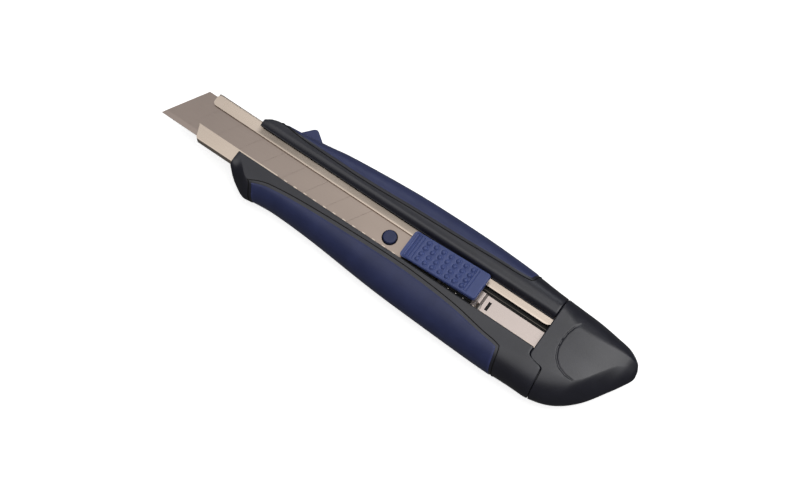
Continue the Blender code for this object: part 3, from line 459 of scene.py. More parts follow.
def metal(name, dark, light, roughness, painted_light_ramp=None):
    """Sheet steel with fine lines along X and faint clouding; the optional ramp (colour, x0, x1) paints on
    a lighter reflection that grows along X from x0 to x1.
    """
    made, nodes, links, shader = shader_tree(name)
    clouds = noise(nodes, links, CLOUD_SCALE, 4.0, (0.6, 1.0, 1.0))
    lines = noise(nodes, links, LINE_SCALE, 2.0, (LINE_STRETCH, 1.0, 1.0))
    mix = nodes.new("ShaderNodeMath")
    mix.operation = "MULTIPLY_ADD"
    mix.inputs[1].default_value = 0.35
    links.new(lines, mix.inputs[0])
    links.new(clouds, mix.inputs[2])
    colour = blend_colour(nodes, links, span(nodes, links, mix.outputs[0], 0.0, 1.0, 0.45, 0.9),
                          dark, light)
    # painted reflection: the colour turns lighter and warmer along X, though the steel is the same
    # throughout
    if painted_light_ramp:
        painted_light_colour, x0, x1 = painted_light_ramp
        split = nodes.new("ShaderNodeSeparateXYZ")
        links.new(nodes.new("ShaderNodeTexCoord").outputs["Object"], split.inputs[0])
        fade = span(nodes, links, split.outputs["X"], 0.0, 0.85, x0, x1)
        colour = blend_colour(nodes, links, fade, colour, painted_light_colour)
    links.new(colour, shader.inputs["Base Color"])
    shader.inputs["Metallic"].default_value = 1.0
    links.new(span(nodes, links, clouds, roughness - CLOUD_DEPTH, roughness + CLOUD_DEPTH),
              shader.inputs["Roughness"])
    links.new(bump(nodes, links, lines, LINE_HEIGHT), shader.inputs["Normal"])
    return made


# the paler edge colours given to these plastics are painted edge highlights
BLACK = plastic("hard_black", (0.0110, 0.0115, 0.0200), (0.0160, 0.0165, 0.0280), 0.36, 2600.0,
                2.5e-5, painted_edge_highlight=(0.035, 0.035, 0.038), gloss=0.8)
DEEP_BLACK = plastic("deep_black", (0.006, 0.0058, 0.0055), (0.010, 0.0095, 0.009), 0.5, 2600.0,
                     2.0e-5, gloss=0.25)
SOFT_BLUE = plastic("soft_blue", (0.026, 0.035, 0.112), (0.034, 0.045, 0.138), 0.44, 4200.0,
                    1.6e-5, sheen=0.08, painted_edge_highlight=(0.09, 0.11, 0.33))
HARD_BLUE = plastic("hard_blue", (0.060, 0.086, 0.245), (0.074, 0.104, 0.290), 0.42, 3200.0,
                    1.6e-5, painted_edge_highlight=(0.13, 0.17, 0.45))
PIN_BLUE = plastic("pin_blue", (0.018, 0.027, 0.092), (0.024, 0.035, 0.115), 0.42, 3200.0,
                   0.5e-6)
STEEL = metal("rail_steel", (0.67, 0.565, 0.475), (0.75, 0.64, 0.545), 0.27)
STRIP_STEEL = metal("strip_steel", (0.52, 0.45, 0.42), (0.58, 0.505, 0.47), 0.30)
# the blade's steel is painted lighter towards its rear end: a painted reflection
BLADE_STEEL = metal("blade_steel", (0.345, 0.285, 0.255), (0.40, 0.33, 0.295), 0.33,
                    painted_light_ramp=((0.42, 0.345, 0.295), -0.105, 0.0))
SPRING_STEEL = metal("spring_steel", (0.48, 0.44, 0.40), (0.66, 0.61, 0.56), 0.22)
DARK_STEEL = metal("dark_steel", (0.060, 0.055, 0.050), (0.10, 0.09, 0.08), 0.35)


# ---- handle shell ----
SEAM_STEP = [(-24.0, 8.3), (-19.5, 7.7), (-11.4, 6.8), (-10.4, 5.6), (-9.9, 3.2), (-9.3, 1.3),
             (-8.6, 0.35), (-7.4, 0.0)]


def seam_x(y):
    """Where the seam between handle and cap lies at breadth y."""
    if y >= SEAM_STEP[-1][0]:
        return SEAM_X
    return SEAM_X + rule(SEAM_STEP, y)


SHELL_PITCH = 1.1  # between the shell's rings
LIP_ROUND = 0.5
LEAST_LIP = 0.1  # the slot's edge keeps this much wall
PAST_LIP_W = 0.05  # the near top flat's points start this far past the rounded edge
PAST_SLOPE_W = 0.03
UNDERCUT_Y = 0.5  # the far slope turns back under itself by this much
UNDERCUT_END_Y = 0.8
FAR_SLOPE_Y = 2.0  # breadth of the sloped inner edge on the spine side
FRONT_ROUND = 0.35
NOSE_SETBACK = 1.5  # the moulded nose starts this far behind the CAD's
SEAM_ROUND = 0.3
SEAM_EASE = 0.08  # first step of the seam's rounding
NECK_INSET = 2.1
NECK_FRONT = 4.0  # the neck starts this far inside the handle
NECK_SHORT = 0.3
NECK_RIM_DROP = 0.6
NECK_START_W = 1.35


def spread(count, start, end):
    """Even steps from start to end, both included."""
    return [start + (end - start) * k / count for k in range(count + 1)]


def far_slope(section):
    """Breadth of the sloped inner edge on the spine side, narrower at the nose."""
    return min(FAR_SLOPE_Y, section.far_shoulder - 0.25 - SLOT_FAR)


def outer_half(section, side):
    """Points from the top flat's inner part round to the bottom, one half."""
    if side == "near":
        start = section.top_w(side, SLOT_NEAR - LIP_ROUND) + PAST_LIP_W
    else:
        start = section.top_w(side, SLOT_FAR + far_slope(section)) + PAST_SLOPE_W
    return [section.point(side, w) for w in spread(5, start, 0.995) + spread(26, 1.005, 2.0)[:-1]
            + spread(14, 2.0, 3.0)]


def shell_ring(x, inset):
    """The handle's open section: outer form, slot edges and the rail's bay."""
    section = Section(x, SKIN + inset)
    section.near = min(section.near, -RAIL_HALF - 2 * CLEAR)
    section.far = max(section.far, RAIL_HALF + 2 * CLEAR)
    top = section.top
    bay_top = RAIL_TOP + CLEAR
    round_off = min(LIP_ROUND, top - bay_top - LEAST_LIP)
    ring = []
    for k in range(6):
        a = pi / 2 * k / 5
        ring.append((SLOT_NEAR - round_off * (1 - cos(a)), top - round_off * (1 - sin(a))))
    ring += outer_half(section, "near")
    near_y, far_y = section.near_bottom, section.far_bottom
    ring += [(near_y + (far_y - near_y) * k / 10, section.bottom) for k in range(1, 10)]
    ring += outer_half(section, "far")[::-1]
    slope = far_slope(section)
    wall_top = section.point("far", section.top_w("far", SLOT_FAR + slope))[1]
    for k in range(7):
        a = pi / 2 * k / 6
        ring.append((SLOT_FAR + slope * (1 - sin(a)) - UNDERCUT_Y * (k / 6) ** 3,
                     wall_top - (wall_top - bay_top - LEAST_LIP) * (1 - cos(a))))
    side = RAIL_HALF + CLEAR
    ring += [(SLOT_FAR - UNDERCUT_END_Y, bay_top), (side, bay_top), (side, FLOOR_TOP), (0.0, FLOOR_TOP),
             (-side, FLOOR_TOP), (-side, bay_top), (SLOT_NEAR, bay_top)]
    return ring


def handle_stations(x0, x1, pitch, fine):
    """Stations at a steady pitch with a finer rounded stretch of length fine at x0."""
    rows = [(x0 + fine * (1 - cos(pi / 2 * k / 5)), fine * (1 - sin(pi / 2 * k / 5)))
            for k in range(6)]
    count = round((x1 - x0 - fine) / pitch)
    rows += [(x0 + fine + (x1 - x0 - fine) * k / count, 0.0) for k in range(1, count + 1)]
    return rows


SEAM_BLEND_X = 8.0  # stations bend towards the seam over this length


def shell_rows():
    """The shell's rings from the nose to the stepped seam."""
    rings = []
    straight_end = SEAM_X - SEAM_BLEND_X
    for x, inset in handle_stations(FRONT_X + NOSE_SETBACK, straight_end, SHELL_PITCH,
                                    FRONT_ROUND):
        rings.append([(x, y, z) for y, z in shell_ring(x, inset)])
    guide = shell_ring(SEAM_X, 0.0)
    ends = [seam_x(y) - CLEAR for y, z in guide]
    rows = [(k / 8, 0.0) for k in range(1, 8)]
    rows += [(0.965, 0.0), (0.985, SEAM_EASE), (1.0, SEAM_ROUND)]
    for t, inset in rows:
        ring = []
        for k, end in enumerate(ends):
            x = straight_end + (end - straight_end) * t
            y, z = shell_ring(x, inset)[k]
            ring.append((x, y, z))
        rings.append(ring)
    return rings


def closed_ring(x, inset):
    """Whole cross section with no slot, for the neck and the cap."""
    section = Section(x, SKIN + inset)
    near, far = ([section.point(side, w) for w in spread(count, 1.0, 2.0)[:-1] + spread(14, 2.0, 3.0)]
                 for side, count in (("near", 36), ("far", 26)))
    y0, y1 = section.far_shoulder, section.near_shoulder
    ring = [(y0 + (y1 - y0) * k / 90, section.top) for k in range(1, 90)]
    ring += near
    y0, y1 = section.near_bottom, section.far_bottom
    ring += [(y0 + (y1 - y0) * k / 10, section.bottom) for k in range(1, 10)]
    return ring + far[::-1]


def make_shell():
    shell = rings_to_mesh("handle_shell", shell_rows(), sharp=50.0)
    dress(shell, BLACK, "handle", "hard_black", "body_shell")
    rings = []
    for x in spread(8, SEAM_X - NECK_FRONT, BODY_HIGH.x - NECK_SHORT):
        rings.append([(x, y, z) for y, z in neck_ring(x)])
    neck = rings_to_mesh("cap_neck", rings, sharp=40.0)
    dress(neck, BLACK, "handle", "hard_black")


def neck_ring(x):
    """U-shaped section of the spigot inside the cap."""
    section = Section(x, SKIN + NECK_INSET)
    side = RAIL_HALF + CLEAR
    rim = RAIL_TOP - NECK_RIM_DROP
    near, far = ([section.point(side, w) for w in spread(8, NECK_START_W, 3.0)]
                 for side in ("near", "far"))
    return ([(-side, rim)] + near + far[::-1]
            + [(side, rim), (side, FLOOR_TOP), (0.0, FLOOR_TOP), (-side, FLOOR_TOP)])


# ---- soft grips ----
GRIP_PROUD = 0.22
GRIP_SUNK = 0.9
GRIP_BACK = 0.4  # the pad's back lies this much deeper than its sunk edge
GRIP_ROUND = 0.9
GRIP_COLUMNS, GRIP_ROWS = 120, 44
GRIP_EVEN = 0.65  # share of even spacing along the pad, the rest bunches at its ends
GRIP_EDGE_SHARE = 0.9
GRIP_LEAST_WIDTH = 6.0
GRIP_CENTRE = 8  # breadth from which a pad's arc is reckoned
W_STEP = 0.02
NEAR_TOP_LINE = [(0.08, -13.7), (0.105, -12.0), (0.14, -10.5), (0.24, -9.0), (0.42, -7.9),
                 (0.57, -7.6), (0.66, -8.2), (0.76, -9.5), (0.86, -11.9), (0.905, -12.7),
                 (0.95, -14.4)]
FAR_TOP_LINE = [(0.055, 15.3), (0.09, 14.5), (0.14, 13.9), (0.25, 13.6), (0.34, 13.5),
                (0.52, 14.5), (0.66, 15.1), (0.78, 15.9), (0.86, 16.3), (0.895, 17.2),
                (0.92, 19.5)]
GRIP_LOW_Z = 2.7
JOINT_GAP = 0.75
JOINT_RADIUS = 0.2
JOINT_LIFT = 0.02
JOINT_STEPS, JOINT_END_STEPS = 90, 24
HOOK_SHARE = 0.144  # where the finger rest stands on the spine side
HOOK_OUTLINE = [(-6.0, -2.2), (-1.4, 3.1), (-0.2, 3.9), (0.9, 3.4), (7.5, -1.5)]
HOOK_LOW, HOOK_HIGH = 5.5, 11.2
HOOK_ROUND = 0.7


def share_x(share):
    """X at a share of the handle's length."""
    return FRONT_X + HANDLE_LENGTH * share


def grip_end(share, sweep, power):
    """X of a grip's end at depth s: it sweeps back by sweep mm down to the pad's foot."""
    return lambda s: share_x(share) + sweep * s ** power


near_front = grip_end(0.085, 5.0, 0.6)
near_rear = grip_end(0.915, 3.6, 0.6)
far_front = grip_end(0.062, 2.5, 1.0)
far_rear = grip_end(0.885, 2.2, 0.5)


def grip_surface(side, top_line, x, s):
    """Point, outward normal and rough pad width of the handle's form at x and depth s."""
    section = Section(x)
    share = (x - FRONT_X) / HANDLE_LENGTH
    w0, w1 = section.top_w(side, rule(top_line, share)), section.low_w(GRIP_LOW_Z)
    w = w0 + (w1 - w0) * s
    y, z = section.point(side, w)
    ya, za = section.point(side, max(0.0, w - W_STEP))
    yb, zb = section.point(side, w + W_STEP)
    along = Vector((0.0, yb - ya, zb - za)).normalized()
    normal = Vector((0.0, along.z, -along.y))
    if normal.y * (1 if side == "far" else -1) < 0 and abs(normal.y) > 0.05:
        normal = -normal
    if abs(normal.y) <= 0.05 and normal.z < 0 and w < 1.5:
        normal = -normal
    widest = section.near if side == "near" else section.far
    width = 0.5 * pi / 2 * (abs(widest) - GRIP_CENTRE) * (w1 - w0)
    return Vector((x, y, z)), normal, max(width, GRIP_LEAST_WIDTH)


def grip_patch(name, side, top_line, front, rear):
    """Closed pad over the form: raised, with a rounded edge, and sunk into the shell."""
    columns, rows = GRIP_COLUMNS, GRIP_ROWS
    bm = bmesh.new()
    outer, inner = [], []
    for i in range(columns + 1):
        t = 0.5 - 0.5 * cos(pi * i / columns)
        t = (1 - GRIP_EVEN) * t + GRIP_EVEN * i / columns
        line_out, line_in = [], []
        for j in range(rows + 1):
            s = 0.5 - 0.5 * cos(pi * j / rows)
            x0, x1 = front(s), rear(s)
            x = x0 + (x1 - x0) * t
            point, normal, width = grip_surface(side, top_line, x, s)
            reach = width * GRIP_EDGE_SHARE
            edge = min(x - x0, x1 - x, s * reach, (1 - s) * reach)
            lift = min(max(edge, 0.0) / GRIP_ROUND, 1.0)
            height = -GRIP_SUNK + (GRIP_SUNK + GRIP_PROUD) * sqrt(1 - (1 - lift) ** 2)
            line_out.append(bm.verts.new((point + normal * height) * MM))
            line_in.append(bm.verts.new((point - normal * (GRIP_SUNK + GRIP_BACK)) * MM))
        outer.append(line_out)
        inner.append(line_in)
    for i in range(columns):
        for j in range(rows):
            bm.faces.new((outer[i][j], outer[i + 1][j], outer[i + 1][j + 1], outer[i][j + 1]))
            bm.faces.new((inner[i][j], inner[i][j + 1], inner[i + 1][j + 1], inner[i + 1][j]))
    for i in range(columns):
        for j in (0, rows):
            bm.faces.new((outer[i][j], outer[i + 1][j], inner[i + 1][j], inner[i][j]))
    for j in range(rows):
        for i in (0, columns):
            bm.faces.new((outer[i][j], outer[i][j + 1], inner[i][j + 1], inner[i][j]))
    return mesh_object(name, bm, sharp=60.0)


def seam_bead(name, side, top_line, front, rear):
    """Thin dark joint line that runs round a grip's edge, JOINT_GAP outside it."""
    shift = JOINT_GAP if side == "near" else -JOINT_GAP
    line = [(share, y + shift) for share, y in top_line]
    path = [(t, 0.0) for t in spread(JOINT_STEPS, 0.0, 1.0)]
    path += [(1.0, s) for s in spread(JOINT_END_STEPS, 0.0, 1.0)[1:]]
    path += [(t, 1.0) for t in spread(JOINT_STEPS, 1.0, 0.0)[1:]]
    path += [(0.0, s) for s in spread(JOINT_END_STEPS, 1.0, 0.0)[1:-1]]
    curve = bpy.data.curves.new(name, "CURVE")
    curve.dimensions = "3D"
    curve.bevel_depth = JOINT_RADIUS * MM
    curve.bevel_resolution = 2
    spline = curve.splines.new("POLY")
    spline.points.add(len(path) - 1)
    spline.use_cyclic_u = True
    for item, (t, s) in zip(spline.points, path):
        x0, x1 = front(s) - JOINT_GAP, rear(s) + JOINT_GAP
        point, normal, _ = grip_surface(side, line, x0 + (x1 - x0) * t, s)
        item.co = (*((point + normal * JOINT_LIFT) * MM), 1.0)
    obj = bpy.data.objects.new(name, curve)
    bpy.context.scene.collection.objects.link(obj)
    return obj


def make_grips():
    near = grip_patch("near_soft_grip", "near", NEAR_TOP_LINE, near_front, near_rear)
    dress(near, SOFT_BLUE, "handle", "soft_blue", "near_grip")
    far = grip_patch("far_soft_grip", "far", FAR_TOP_LINE, far_front, far_rear)
    dress(far, SOFT_BLUE, "handle", "soft_blue", "far_grip")
    x = share_x(HOOK_SHARE)
    foot = Section(x).far
    outline = [(x + dx, foot + dy) for dx, dy in HOOK_OUTLINE]
    hook = bevel(prism("finger_rest", outline, HOOK_LOW, HOOK_HIGH), HOOK_ROUND, 4)
    dress(hook, SOFT_BLUE, "handle", "soft_blue")
    for name, side, line, front, rear in (
            ("near_grip_joint", "near", NEAR_TOP_LINE, near_front, near_rear),
            ("far_grip_joint", "far", FAR_TOP_LINE, far_front, far_rear)):
        dress(seam_bead(name, side, line, front, rear), DEEP_BLACK, "handle", "hard_black")


# ---- end cap ----
PAD_ARC = [(79.0, 12.4), (77.6, 9.9), (76.7, 6.5), (76.5, 3.2), (76.9, -0.6), (78.4, -3.8),
           (81.0, -6.2), (84.4, -7.4), (87.9, -7.6)]
GROOVE_WIDTH = 0.55
GROOVE_DEPTH = 0.30
GROOVE_ABOVE = 2.0  # the pad's groove is only cut this far above the widest line
CAP_WALL = 1.8
MOUTH_WALL = 1.6
MOUTH_SETBACK = 0.3
HOLLOW_FROM_STEP = 5.0
CAP_BLEND = 4.0  # past the seam's step, the rings stand square again
CAP_RINGS = 96
TAIL_EVEN = 0.45  # share of even spacing towards the tail
TAIL_ROUND = 0.09
SLIDE_BACK = 19.0  # the strip and the carrier run this far back into the cap


def path_distance(path, x, y):
    """Distance from (x, y) to an open path."""
    best = 1e9
    for (x0, y0), (x1, y1) in zip(path, path[1:]):
        t = ((x - x0) * (x1 - x0) + (y - y0) * (y1 - y0)) / ((x1 - x0) ** 2 + (y1 - y0) ** 2)
        t = min(max(t, 0.0), 1.0)
        best = min(best, (x - x0 - t * (x1 - x0)) ** 2 + (y - y0 - t * (y1 - y0)) ** 2)
    return sqrt(best)


def make_cap():
    """Hollow end cap with its stepped mouth and the raised pad's groove."""
    rings = []
    guide = closed_ring(SEAM_X, 0.0)
    starts = [seam_x(y) for y, z in guide]
    blend_end = SEAM_X + CAP_STEP + CAP_BLEND
    rows = [(0.0, SEAM_ROUND), (0.015, SEAM_EASE), (0.035, 0.0)]
    rows += [(k / 44, 0.0) for k in range(2, 45)]
    for t, inset in rows:
        ring = []
        for k, start in enumerate(starts):
            x = start + (blend_end - start) * t
            y, z = closed_ring(x, inset)[k]
            ring.append((x, y, z))
        rings.append(ring)
    tail = CAP_LENGTH - (blend_end - SEAM_X)
    for k in range(1, CAP_RINGS + 1):
        share = k / CAP_RINGS
        x = blend_end + tail * (TAIL_EVEN * share + (1 - TAIL_EVEN) * sin(pi / 2 * share))
        inset = max(0, k - CAP_RINGS + 3) ** 2 * TAIL_ROUND
        rings.append([(x, y, z) for y, z in closed_ring(x, inset)])
    for ring in rings:
        for k, (x, y, z) in enumerate(ring):
            if z > Section(x).middle + GROOVE_ABOVE:
                off = path_distance(PAD_ARC, x, y) / GROOVE_WIDTH
                if off < 1:
                    ring[k] = (x, y, z - GROOVE_DEPTH * smooth(1 - off))
    hollow = []
    for x in spread(12, CARRIER_HIGH.x + SLIDE_BACK + CLEAR, SEAM_X + CAP_STEP + HOLLOW_FROM_STEP):
        hollow.append([(x, y, z) for y, z in closed_ring(x, CAP_WALL)])
    inner_front = []
    for k, start in enumerate(starts):
        x = start + MOUTH_SETBACK
        y, z = closed_ring(x, MOUTH_WALL)[k]
        inner_front.append((x, y, z))
    cap = rings_to_mesh("end_cap_shell", hollow + [inner_front] + rings, sharp=50.0)
    dress(cap, BLACK, "cap", "hard_black", "end_cap")


# ---- steel rail and blade ----
BEND = 0.75  # outer radius of the rail's bends, just over the sheet's thickness
LIP_DIP = 0.60  # fall of the far lip towards its bend, inside the handle
LIP_DIP_REAR = 0.30
LIP_FLAT = 0.8  # the far lip stays level this far from its edge
CUT_HIGH = 20  # cutters reach over everything
LIP_CUT_LOW = RAIL_TOP - SHEET - 0.2


def rail_profile(dip):
    """Folded channel with rounded bends, both lips turned in; dip lowers the far lip's bend."""
    low, top = RAIL_LOW.z, RAIL_TOP
    outer = RAIL_HALF
    points = []

    def corner(y, z, radius, start):
        for k in range(6):
            a = radians(start) + pi / 2 * k / 5
            points.append((y + radius * cos(a), z + radius * sin(a)))

    corner(-outer + BEND, low + BEND, BEND, 180)
    corner(outer - BEND, low + BEND, BEND, 270)
    corner(outer - BEND, top - BEND - dip, BEND, 0)
    points.append((FAR_LIP_Y + LIP_FLAT, top))
    points.append((FAR_LIP_Y, top))
    points.append((FAR_LIP_Y, top - SHEET))
    thin = BEND - SHEET
    inside = []
    for y, z, start in ((outer - BEND, top - BEND - dip, 0), (outer - BEND, low + BEND, 270),
                        (-outer + BEND, low + BEND, 180), (-outer + BEND, top - BEND, 90)):
        arc = []
        for k in range(4):
            a = radians(start) + pi / 2 * k / 3
            arc.append((y + thin * cos(a), z + thin * sin(a)))
        inside += arc[::-1]
    points += inside
    points += [(NEAR_LIP_Y, top - SHEET), (NEAR_LIP_Y, top)]
    corner(-outer + BEND, top - BEND, BEND, 90)
    return points


NOTCH_PITCH = 14.0 / 3
NOTCH_HALF = 1.65
NOTCH_DEPTH = 0.8
NOTCH_SQUARE = 0.4  # below 1 squares a notch's end
PAWL_X = 25.0
NOTCHES_FROM_X = -48.0
NOTCHES = 25


def make_rail():
    """Steel rail with its cut front corners, cleared rear corner and the notches."""
    front, rear = RAIL_LOW.x, RAIL_HIGH.x
    rings = []
    for x, dip in ((front, 0.0), (FRONT_X + 1.0, 0.0), (FRONT_X + 3.5, LIP_DIP),
                   (BUTTON_HIGH.x - 8.0, LIP_DIP), (BUTTON_HIGH.x, LIP_DIP_REAR), (rear, LIP_DIP_REAR)):
        rings.append([(x, y, z) for y, z in rail_profile(dip)])
    rail = rings_to_mesh("steel_rail", rings)
    rail.modifiers.new("flat", "TRIANGULATE")
    rail = evaluated(rail)
    reach = RAIL_HALF + 1.0
    far_front = [(front - 1, reach), (front + 0.9, reach), (front + 0.9, RAIL_HALF - 0.8)]
    for k in range(7):
        a = pi / 2 * k / 6
        far_front.append((front + 0.9 - 0.9 * sin(a), RAIL_HALF - 2.2 + 1.4 * cos(a)))
    for k in range(9):
        a = pi / 2 * k / 8
        far_front.append((front + 1.5 - 1.5 * cos(a), FAR_LIP_Y + 1.5 - 1.5 * sin(a)))
    far_front += [(front + 1.5, FAR_LIP_Y - 1), (front - 1, FAR_LIP_Y - 1)]
    near_front_cut = [(front - 1, NEAR_LIP_Y + 2), (front + 1.0, NEAR_LIP_Y + 2),
                      (front + 1.0, NEAR_LIP_Y), (front + 1.5, NEAR_LIP_Y - 0.8),
                      (front + 3.4, -RAIL_HALF + 0.9), (front + 4.4, -RAIL_HALF), (front + 4.4, -reach),
                      (front - 1, -reach)]
    far_rear_cut = [(rear + 1, FAR_LIP_Y - 1), (rear - 4.5, FAR_LIP_Y - 1)]
    for k in range(9):
        a = pi / 2 * k / 8
        far_rear_cut.append((rear - 4.2 + 4.0 * sin(a), FAR_LIP_Y + 4.2 - 4.2 * cos(a)))
    far_rear_cut.append((rear + 1, FAR_LIP_Y + 4.2))
    rail = boolean(rail, prism("c", far_front, LIP_CUT_LOW, CUT_HIGH),
                   prism("c", near_front_cut, 5, CUT_HIGH),
                   prism("c", far_rear_cut, LIP_CUT_LOW, CUT_HIGH))
    first = PAWL_X - NOTCH_PITCH * round((PAWL_X - NOTCHES_FROM_X) / NOTCH_PITCH)
    for k in range(NOTCHES):
        x = first + NOTCH_PITCH * k
        shape = []
        for j in range(9):
            a = pi * j / 8
            shape.append((x + NOTCH_HALF * cos(a), NEAR_LIP_Y - NOTCH_DEPTH * sin(a) ** NOTCH_SQUARE))
        shape += [(x - NOTCH_HALF, NEAR_LIP_Y + 1), (x + NOTCH_HALF, NEAR_LIP_Y + 1)]
        rail = boolean(rail, prism("c", shape, LIP_CUT_LOW, CUT_HIGH))
    rail = bevel(rail, 0.08, 2)
    dress(rail, STEEL, "handle", "rail_steel", "blade_rail")


SCORES = 8
SCORE_ANGLE = 60.0
SCORE_HALF = 0.11
SCORE_DEPTH = 0.04
SCORE_OVER = 0.02
SEGMENT = 10.5
EDGE_BEVEL = 2.0
EDGE_LAND = 0.05  # half the edge's own thickness
HOLE_RADIUS = 3.2
PIN_RADIUS = 2.8
PIN_FROM_FRONT = 2.5  # clear length of carrier before the pin


def make_blade():
    """Scored blade with its ground edge and hole; returns the hole's X."""
    half = BLADE_HIGH.y
    low, top = BLADE_LOW.z, BLADE_HIGH.z
    mid = (low + top) / 2
    tip, rear = BLADE_LOW.x, BLADE_HIGH.x
    profile = [(-half, mid - EDGE_LAND), (-half + EDGE_BEVEL, low), (half, low), (half, top),
               (-half + EDGE_BEVEL, top), (-half, mid + EDGE_LAND)]
    blade = beam("snap_blade", profile, tip - 1, rear + 1)
    lean = 2 * half / tan(radians(SCORE_ANGLE))
    reach = lean / (2 * half)
    blank = [(tip - reach, -half - 1), (rear, -half - 1), (rear, half + 1),
             (tip + lean + reach, half + 1)]
    blade = boolean(blade, prism("c", blank, 0, 30), operation="INTERSECT")
    for k in range(1, SCORES + 1):
        x = tip + SEGMENT * k
        bm = bmesh.new()
        ends = [(x - 1.5 * reach, -half - 1.5), (x + lean + 1.5 * reach, half + 1.5)]
        verts = []
        for ex, ey in ends:
            verts.append([bm.verts.new(Vector((ex + dx, ey, top + dz)) * MM) for dx, dz in
                          ((-SCORE_HALF, SCORE_OVER), (SCORE_HALF, SCORE_OVER),
                           (0.0, -SCORE_DEPTH))])
        bm.faces.new(verts[0])
        bm.faces.new(verts[1])
        for a in range(3):
            b = (a + 1) % 3
            bm.faces.new((verts[0][a], verts[0][b], verts[1][b], verts[1][a]))
        blade = boolean(blade, mesh_object("c", bm))
    hole_x = CARRIER_LOW.x + PIN_FROM_FRONT + PIN_RADIUS
    bore = [(0.0, 5.0), (HOLE_RADIUS, 5.0), (HOLE_RADIUS, 25.0), (0.0, 25.0)]
    blade = boolean(blade, turned("c", hole_x, 0.0, bore))
    blade.data.shade_flat()
    dress(blade, BLADE_STEEL, "slider", "blade_steel", "blade")
    return hole_x


# ---- slider ----
BUTTON_YAW = 0.9
BUTTON_CORNER = 1.3
BUTTON_ROUND = 0.7
BUTTON_COLUMNS, BUTTON_ROWS = 230, 84
BUTTON_FRONT_DROP = 2.35  # the top's front below the CAD's highest point
BUTTON_RISE = 1.85
NOSE_DIP = 1.1  # the top falls by this towards its front edge
NOSE_LENGTH = 5.0
THUMB_HOLLOW = 0.25
THUMB_START = 5.2
THUMB_SHORT = 11.5  # the hollow is this much shorter than the button
GROOVE_MARGIN = 1.0
FRONT_GROOVES = (1.9, 3.2, 4.6)
FRONT_GROOVE_DEPTH, FRONT_GROOVE_HALF = 0.32, 0.36
REAR_GROOVES = (6.0, 4.9)  # from the rear end
REAR_GROOVE_DEPTH, REAR_GROOVE_HALF = 0.28, 0.32
DOTS_START = 6.9
DOT_SKEW = 0.12
DOT_STEEP = 1.9
DOT_ROWS = 7
DOTS_ACROSS = 4
DOT_PITCH = 3.35
DOT_ACROSS_PITCH = 2.55
DOT_RADIUS = 0.92
DOT_HEIGHT = 0.50
DOT_MOAT = 0.42  # groove round each dot, as a share of its radius
DOT_MOAT_DEPTH = 0.16


def button_height(u, v, length, width):
    """Height of the button's top at u along and v across, mm in the frame."""
    z = BUTTON_HIGH.z - BUTTON_FRONT_DROP + BUTTON_RISE * u / length
    if u < NOSE_LENGTH:
        z -= NOSE_DIP * (1 - u / NOSE_LENGTH) ** 2
    along = min(max((u - THUMB_START) / (length - THUMB_SHORT), 0.0), 1.0)
    z -= THUMB_HOLLOW * sin(pi * along) * sin(pi * v / width)
    if GROOVE_MARGIN < v < width - GROOVE_MARGIN:
        for groove in FRONT_GROOVES:
            z -= FRONT_GROOVE_DEPTH * max(0.0, 1 - ((u - groove) / FRONT_GROOVE_HALF) ** 2)
        for groove in REAR_GROOVES:
            z -= REAR_GROOVE_DEPTH * max(0.0, 1 - ((u - length + groove) / REAR_GROOVE_HALF) ** 2)
    for row in range(DOT_ROWS):
        for k in range(DOTS_ACROSS):
            du = u - (DOTS_START + DOT_PITCH * row + DOT_SKEW * k)
            dv = v - (width / 2 + DOT_ACROSS_PITCH * (k - (DOTS_ACROSS - 1) / 2))
            r = sqrt(du * du + dv * dv) / DOT_RADIUS
            if r < 1.0:
                z += DOT_HEIGHT * smooth((1.0 - r) * DOT_STEEP)
            elif r < 1.0 + DOT_MOAT:
                z -= DOT_MOAT_DEPTH * sin(pi * (r - 1.0) / DOT_MOAT)
    return z


def corner_map(u, v, length, width, radius):
    """Moves grid points near the rectangle's corners on to rounded corners."""
    cu = radius if u < radius else length - radius if u > length - radius else None
    cv = radius if v < radius else width - radius if v > width - radius else None
    if cu is None or cv is None:
        return u, v
    a, b = (u - cu) / radius, (v - cv) / radius
    reach = max(abs(a), abs(b))
    size = sqrt(a * a + b * b)
    if size < 1e-9:
        return u, v
    return cu + a / size * reach * radius, cv + b / size * reach * radius


def make_button():
    """Thumb button with a fine grid for its top and plain sides down to its underside."""
    x0 = BUTTON_LOW.x
    length = BUTTON_HIGH.x - x0
    y0 = BUTTON_LOW.y
    width = BUTTON_HIGH.y - BUTTON_LOW.y - BUTTON_YAW
    columns, rows = BUTTON_COLUMNS, BUTTON_ROWS
    bm = bmesh.new()
    grid = []
    for i in range(columns + 1):
        line = []
        for j in range(rows + 1):
            u, v = corner_map(length * i / columns, width * j / rows, length, width, BUTTON_CORNER)
            edge = min(length * min(i, columns - i) / columns, width * min(j, rows - j) / rows)
            lift = min(max(edge, 0.0) / BUTTON_ROUND, 1.0)
            z = button_height(u, v, length, width) - BUTTON_ROUND * (1 - sqrt(1 - (1 - lift) ** 2))
            line.append(bm.verts.new(Vector((x0 + u, y0 + v + BUTTON_YAW * u / length, z)) * MM))
        grid.append(line)
    for i in range(columns):
        for j in range(rows):
            bm.faces.new((grid[i][j], grid[i + 1][j], grid[i + 1][j + 1], grid[i][j + 1]))
    rim = ([grid[i][0] for i in range(columns)] + [grid[columns][j] for j in range(rows)]
           + [grid[i][rows] for i in range(columns, 0, -1)] + [grid[0][j] for j in range(rows, 0, -1)])
    floor = []
    for vert in rim:
        floor.append(bm.verts.new((vert.co.x, vert.co.y, BUTTON_LOW.z * MM)))
    count = len(rim)
    for k in range(count):
        bm.faces.new((rim[k], rim[(k + 1) % count], floor[(k + 1) % count], floor[k]))
    bm.faces.new(floor)
    button = mesh_object("thumb_button", bm, sharp=60.0)
    dress(button, HARD_BLUE, "button", "hard_blue", "slider_button")


